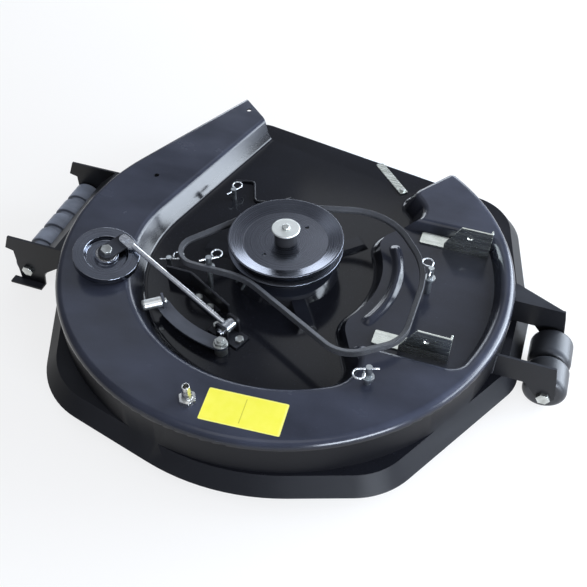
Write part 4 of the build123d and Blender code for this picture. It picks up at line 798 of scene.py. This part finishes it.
bolt_tree.links.new(together.outputs["Geometry"], solid.inputs["Geometry"])
bolt_tree.links.new(solid.outputs["Geometry"], finish.inputs["Geometry"])
bolt_tree.links.new(first.outputs["Finish"], finish.inputs["Material"])
bolt_tree.links.new(finish.outputs["Geometry"], last.inputs["Geometry"])


def solid_boxes(node):
    """Low and high corners of each separate solid in a CAD piece."""
    shape = merged(node)
    left, boxes = set(shape.verts), []
    while left:
        reach, group = [left.pop()], []
        while reach:
            point = reach.pop()
            group.append(point.co.copy())
            for edge in point.link_edges:
                other = edge.other_vert(point)
                if other in left:
                    left.remove(other)
                    reach.append(other)
        corners = list(zip(*group))
        boxes.append((Vector([min(c) for c in corners]), Vector([max(c) for c in corners])))
    shape.free()
    return boxes


for node in ("lift_bolts", "housing_bolts", "pivot_bolts", "linkage_bolts", "chute_bolt"):
    boxes = sorted(solid_boxes(node), key=lambda box: box[0].z - box[1].z)
    bolts, nuts = boxes[: len(boxes) // 2], boxes[len(boxes) // 2:]
    rows = []
    for bolt_low, bolt_high in bolts:
        middle = (bolt_low + bolt_high) / 2
        nut_high = min((box[1] for box in nuts), key=lambda top: (top.xy - bolt_high.xy).length)
        radius = (bolt_high.x - bolt_low.x) * cos(pi / 6) / HEX_ACROSS
        seat = bolt_high.z - HEX_HEIGHT * radius
        rows.append(((middle.x, middle.y, seat), radius, seat - nut_high.z, seat - bolt_low.z))
    seed = bpy.data.meshes.new(f"{node}_seats")
    seed.from_pydata([row[0] for row in rows], [], [])
    for column, label in enumerate(("radius", "grip", "length"), start=1):
        values = seed.attributes.new(label, "FLOAT", "POINT")
        values.data.foreach_set("value", [row[column] for row in rows])
    piece = grown(f"{node}_finished", seed, bolt_tree, {
        "Head": head, "Shank": shank, "Nut": nut, "Finish": fastener_zinc,
    })
    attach(piece, frame["nodes"][node]["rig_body"])
    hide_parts(node)
for pattern in (head, shank, nut):
    bpy.data.objects.remove(pattern)

# Spindle housing and blade adapter: gravity castings in aluminium alloy with a grainy skin. The
# housing is bolted to the pan, and the adapter sits on the shaft below it.
cast_alloy = metal(
    "cast_alloy", bright=(0.72, 0.74, 0.78), dull=(0.55, 0.57, 0.61), roughness=0.34, streak_scale=90.0,
    depth=0.00005,
)
for node in ("spindle_housing", "blade_adapter"):
    dressed(node, cast_alloy, edge_round=0.001)

# Spindle: ground steel shaft on two sealed ball bearings with a turned spacer between them;
# the idler turns on a bearing of the same kind.
ground_steel = metal(
    "ground_steel", bright=(0.66, 0.66, 0.66), dull=(0.5, 0.5, 0.5), roughness=0.18, streak_scale=700.0
)
for node in ("upper_bearing", "lower_bearing", "spindle_shaft", "bearing_spacer", "idler_bearing"):
    dressed(node, ground_steel)

# Drive pulley and idler pulley: discs spun from steel sheet, with a dark burnished skin and the
# fine rings that the spinning roller leaves. Above its face, the drive pulley's rim opens as a cone.
RING_NOISE = 900.0
RING_DEPTH = 0.000006
SPUN_IOR = 1.45
SPUN_HAZE_SCALE = 16.0
SPUN_HAZE_AMOUNT = 0.8
WEAR_RANGE = (0.3, 0.75)
WEAR_SHARE = 0.6
WEAR_DULL_RANGE = (0.3, 0.7)
WEAR_DULLS = 0.12
PULLEY_FACE = 0.159
PULLEY_FACE_RADIUS = 0.074
RIM_STEP_RADIUS = 0.084
RIM_LIP_RADIUS = 0.0972
RIM_FOOT_SHARE = 0.05
turning, turning_in, turning_out = effect_group(
    "turning", {"Axis X": 0.0, "Axis Y": 0.0, "Pitch": 0.0012}, ("Ring", "Wear")
)
spot = turning.nodes.new("ShaderNodeTexCoord")
spot_axes = turning.nodes.new("ShaderNodeSeparateXYZ")
turning.links.new(spot.outputs["Object"], spot_axes.inputs[0])
beside = joined(turning, "SUBTRACT", spot_axes.outputs["X"], turning_in.outputs["Axis X"])
ahead = joined(turning, "SUBTRACT", spot_axes.outputs["Y"], turning_in.outputs["Axis Y"])
reach = joined(turning, "SQRT", joined(
    turning, "ADD", joined(turning, "MULTIPLY", beside, beside), joined(turning, "MULTIPLY", ahead, ahead)
))
turns = joined(turning, "MULTIPLY", joined(turning, "DIVIDE", reach, turning_in.outputs["Pitch"]), 2 * pi)
turning.links.new(ranged(turning, joined(turning, "SINE", turns), -1.0, 1.0), turning_out.inputs["Ring"])
ring_noise = turning.nodes.new("ShaderNodeTexNoise")
ring_noise.noise_dimensions = "1D"
ring_noise.inputs["Scale"].default_value = RING_NOISE
turning.links.new(reach, ring_noise.inputs["W"])
turning.links.new(ring_noise.outputs["Fac"], turning_out.inputs["Wear"])


def spun(name, node, plain, worn, roughness, metallic=1.0):
    """Turned or spun finish whose rings run about the middle of a CAD piece."""
    low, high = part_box(node)
    material, tree, surface = new_finish(name)
    surface.inputs["Metallic"].default_value = metallic
    surface.inputs["IOR"].default_value = SPUN_IOR
    marks = placed(tree, turning, **{"Axis X": (low[0] + high[0]) / 2, "Axis Y": (low[1] + high[1]) / 2})
    dust_and_sheen_node = placed(tree, dust_and_sheen_group, Scale=SPUN_HAZE_SCALE, Amount=SPUN_HAZE_AMOUNT)
    wear = joined(tree, "MULTIPLY", ranged(tree, marks.outputs["Wear"], *WEAR_RANGE), WEAR_SHARE)
    mask = joined(tree, "ADD", wear, dust_and_sheen_node.outputs["Mask"])
    tree.links.new(blended(tree, mask, plain, worn), surface.inputs["Base Color"])
    dulled = ranged(tree, marks.outputs["Wear"], *WEAR_DULL_RANGE, roughness, roughness + WEAR_DULLS)
    tree.links.new(dulled, surface.inputs["Roughness"])
    relief(tree, marks.outputs["Ring"], RING_DEPTH, surface)
    return material


pulley_steel = spun(
    "pulley_steel", "drive_pulley", plain=(0.085, 0.09, 0.105), worn=(0.15, 0.16, 0.19), roughness=0.2
)
pulley = dressed("drive_pulley", pulley_steel, crease=14.0)
rim_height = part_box("drive_pulley")[1][2] - PULLEY_FACE
for point in pulley.data.vertices:
    offset = (point.co - spindle).to_2d()
    rise = (point.co.z - PULLEY_FACE) / rim_height
    if rise > RIM_FOOT_SHARE and PULLEY_FACE_RADIUS < offset.length < RIM_STEP_RADIUS:
        reach = PULLEY_FACE_RADIUS + rise * (RIM_LIP_RADIUS - PULLEY_FACE_RADIUS)
        point.co.xy = spindle.xy + offset.normalized() * reach
idler_steel = spun(
    "idler_steel", "idler_pulley", plain=(0.15, 0.16, 0.185), worn=(0.30, 0.32, 0.37), roughness=0.14
)
dressed("idler_pulley", idler_steel, crease=20.0)

# Pulley hub, washer and screw: a black-oxide turned hub under a plated dished washer, held
# down by a round-headed screw.
black_oxide = spun(
    "black_oxide", "pulley_hub", plain=(0.012, 0.012, 0.013), worn=(0.04, 0.04, 0.045), roughness=0.3,
    metallic=0.0,
)
dressed("pulley_hub", black_oxide)
washer_zinc = spun(
    "washer_zinc", "pulley_washer", plain=(0.88, 0.90, 0.87), worn=(0.76, 0.78, 0.75), roughness=0.38
)
dressed("pulley_washer", washer_zinc)
screw_zinc = spun(
    "screw_zinc", "pulley_screw", plain=(0.70, 0.72, 0.70), worn=(0.5, 0.52, 0.5), roughness=0.22
)
dressed("pulley_screw", screw_zinc)

# Cutting blade: rolled spring steel bar with bent-up wings, dipped in black paint, ground bare
# along the cutting edges and scoured bare on the wings. A washer and a hexagon bolt hold it to
# the adapter.
BARE_SLOPE_LEAST = 0.15
BARE_SLOPE_MOST = 0.93
BARE_INSIDE = 0.25
blade_paint = sprayed(
    "blade_enamel", paint=(0.02, 0.02, 0.02), dust_and_sheen_colour=(0.09, 0.085, 0.075), roughness=0.42, haze_scale=22.0,
    haze_amount=0.7, peel_depth=0.00004,
)
blade = dressed("cutting_blade", blade_paint)
blade.data.materials.append(ground_steel)
for face in blade.data.polygons:
    outer = (face.center - spindle).xy.length > BARE_INSIDE
    if outer and BARE_SLOPE_LEAST < abs(face.normal.z) < BARE_SLOPE_MOST:
        face.material_index = 1
blade_washer_zinc = spun(
    "blade_washer_zinc", "blade_washer", plain=(0.6, 0.62, 0.6), worn=(0.4, 0.42, 0.4), roughness=0.3
)
dressed("blade_washer", blade_washer_zinc)
dressed("blade_bolt", fastener_zinc, NUT_EDGE)

# Drive belt: wrapped V-belt, its rubber body covered in woven cloth that wears grey. It lies
# slack, in an open loop between the pulley and the keepers.
WEAVE_SCALE = 900.0
WEAVE_DETAIL = 2.0
WEAVE_STRETCH = (1.0, 0.35, 1.0)
WEAVE_RANGE = (0.4, 0.62)
WEAVE_DEPTH = 0.00012
CLOTH_DARK = (0.018, 0.018, 0.02)
CLOTH_PALE = (0.05, 0.051, 0.056)
CLOTH_DUST = (0.075, 0.079, 0.09)
belt_cloth, tree, surface = new_finish("belt_cloth")
surface.inputs["Roughness"].default_value = 0.55
surface.inputs["IOR"].default_value = 1.4
dust_and_sheen_node = placed(tree, dust_and_sheen_group, Scale=45.0, Amount=0.8)
weave = ranged(tree, noise_in(tree, WEAVE_SCALE, WEAVE_DETAIL, WEAVE_STRETCH), *WEAVE_RANGE)
cloth = blended(tree, weave, CLOTH_DARK, CLOTH_PALE)
tree.links.new(blended(tree, dust_and_sheen_node.outputs["Mask"], cloth, CLOTH_DUST), surface.inputs["Base Color"])
relief(tree, weave, WEAVE_DEPTH, surface)
dressed("drive_belt", belt_cloth, edge_round=0.0012)

# Belt keepers and their hairpin clips: turned and plated pins with a cross hole, each with a
# clip bent from bright spring wire.
keeper_zinc = metal(
    "keeper_zinc", bright=(0.62, 0.65, 0.66), dull=(0.42, 0.45, 0.47), roughness=0.24, streak_scale=400.0
)
dressed("belt_keepers", keeper_zinc)
clip_wire = metal(
    "spring_wire", bright=(0.82, 0.84, 0.86), dull=(0.62, 0.64, 0.66), roughness=0.2, streak_scale=300.0
)
dressed("hairpin_clips", clip_wire, edge_round=0.0)

# Tensioner: brackets of bent sheet and an arm in satin black, joined by plated pins and a
# drawn rod whose end is flattened and riveted to the arm.
for node in ("linkage_bracket", "pivot_bracket", "idler_arm"):
    dressed(node, satin_black)
drawn_zinc = metal(
    "drawn_zinc", bright=(0.80, 0.82, 0.85), dull=(0.66, 0.68, 0.72), roughness=0.16, streak_scale=1400.0,
    depth=0.000001,
)
for node in ("pivot_pin", "pivot_washer", "tension_rod", "rod_rivet"):
    dressed(node, drawn_zinc)
dressed("idler_bolt", fastener_zinc, NUT_EDGE)

# Brake lever: flat steel strip in worn satin black on a stud with a flanged nut, and a plated
# sleeve bolted across its free end.
lever_coat = sprayed(
    "lever_coat", paint=(0.03, 0.032, 0.038), dust_and_sheen_colour=(0.13, 0.14, 0.17), roughness=0.26, haze_scale=18.0,
    haze_amount=0.9, peel_depth=0.00003,
)
dressed("brake_lever", lever_coat)
sleeve_zinc = metal(
    "sleeve_zinc", bright=(0.84, 0.85, 0.83), dull=(0.7, 0.71, 0.69), roughness=0.3, streak_scale=300.0
)
dressed("lever_sleeve", sleeve_zinc, edge_round=0.001)
for node in ("sleeve_bolt", "lever_stud", "lever_nut"):
    dressed(node, fastener_zinc, NUT_EDGE)

# Wash port: a turned hose fitting in nickel-plated brass, screwed through the ring and held
# by a nut under it.
port_nickel = metal(
    "port_nickel", bright=(0.80, 0.80, 0.78), dull=(0.6, 0.6, 0.58), roughness=0.2, streak_scale=300.0
)
for node in ("wash_port", "wash_port_nut"):
    dressed(node, port_nickel, edge_round=0.0005)

# Guide wire and chute strip: bent wire that holds the belt in line, coated black, and a
# plated spring strip bolted at the mouth of the chute.
dressed("guide_wire", satin_black, edge_round=0.0)
dressed("chute_strip", strip_zinc, edge_round=0.0004)
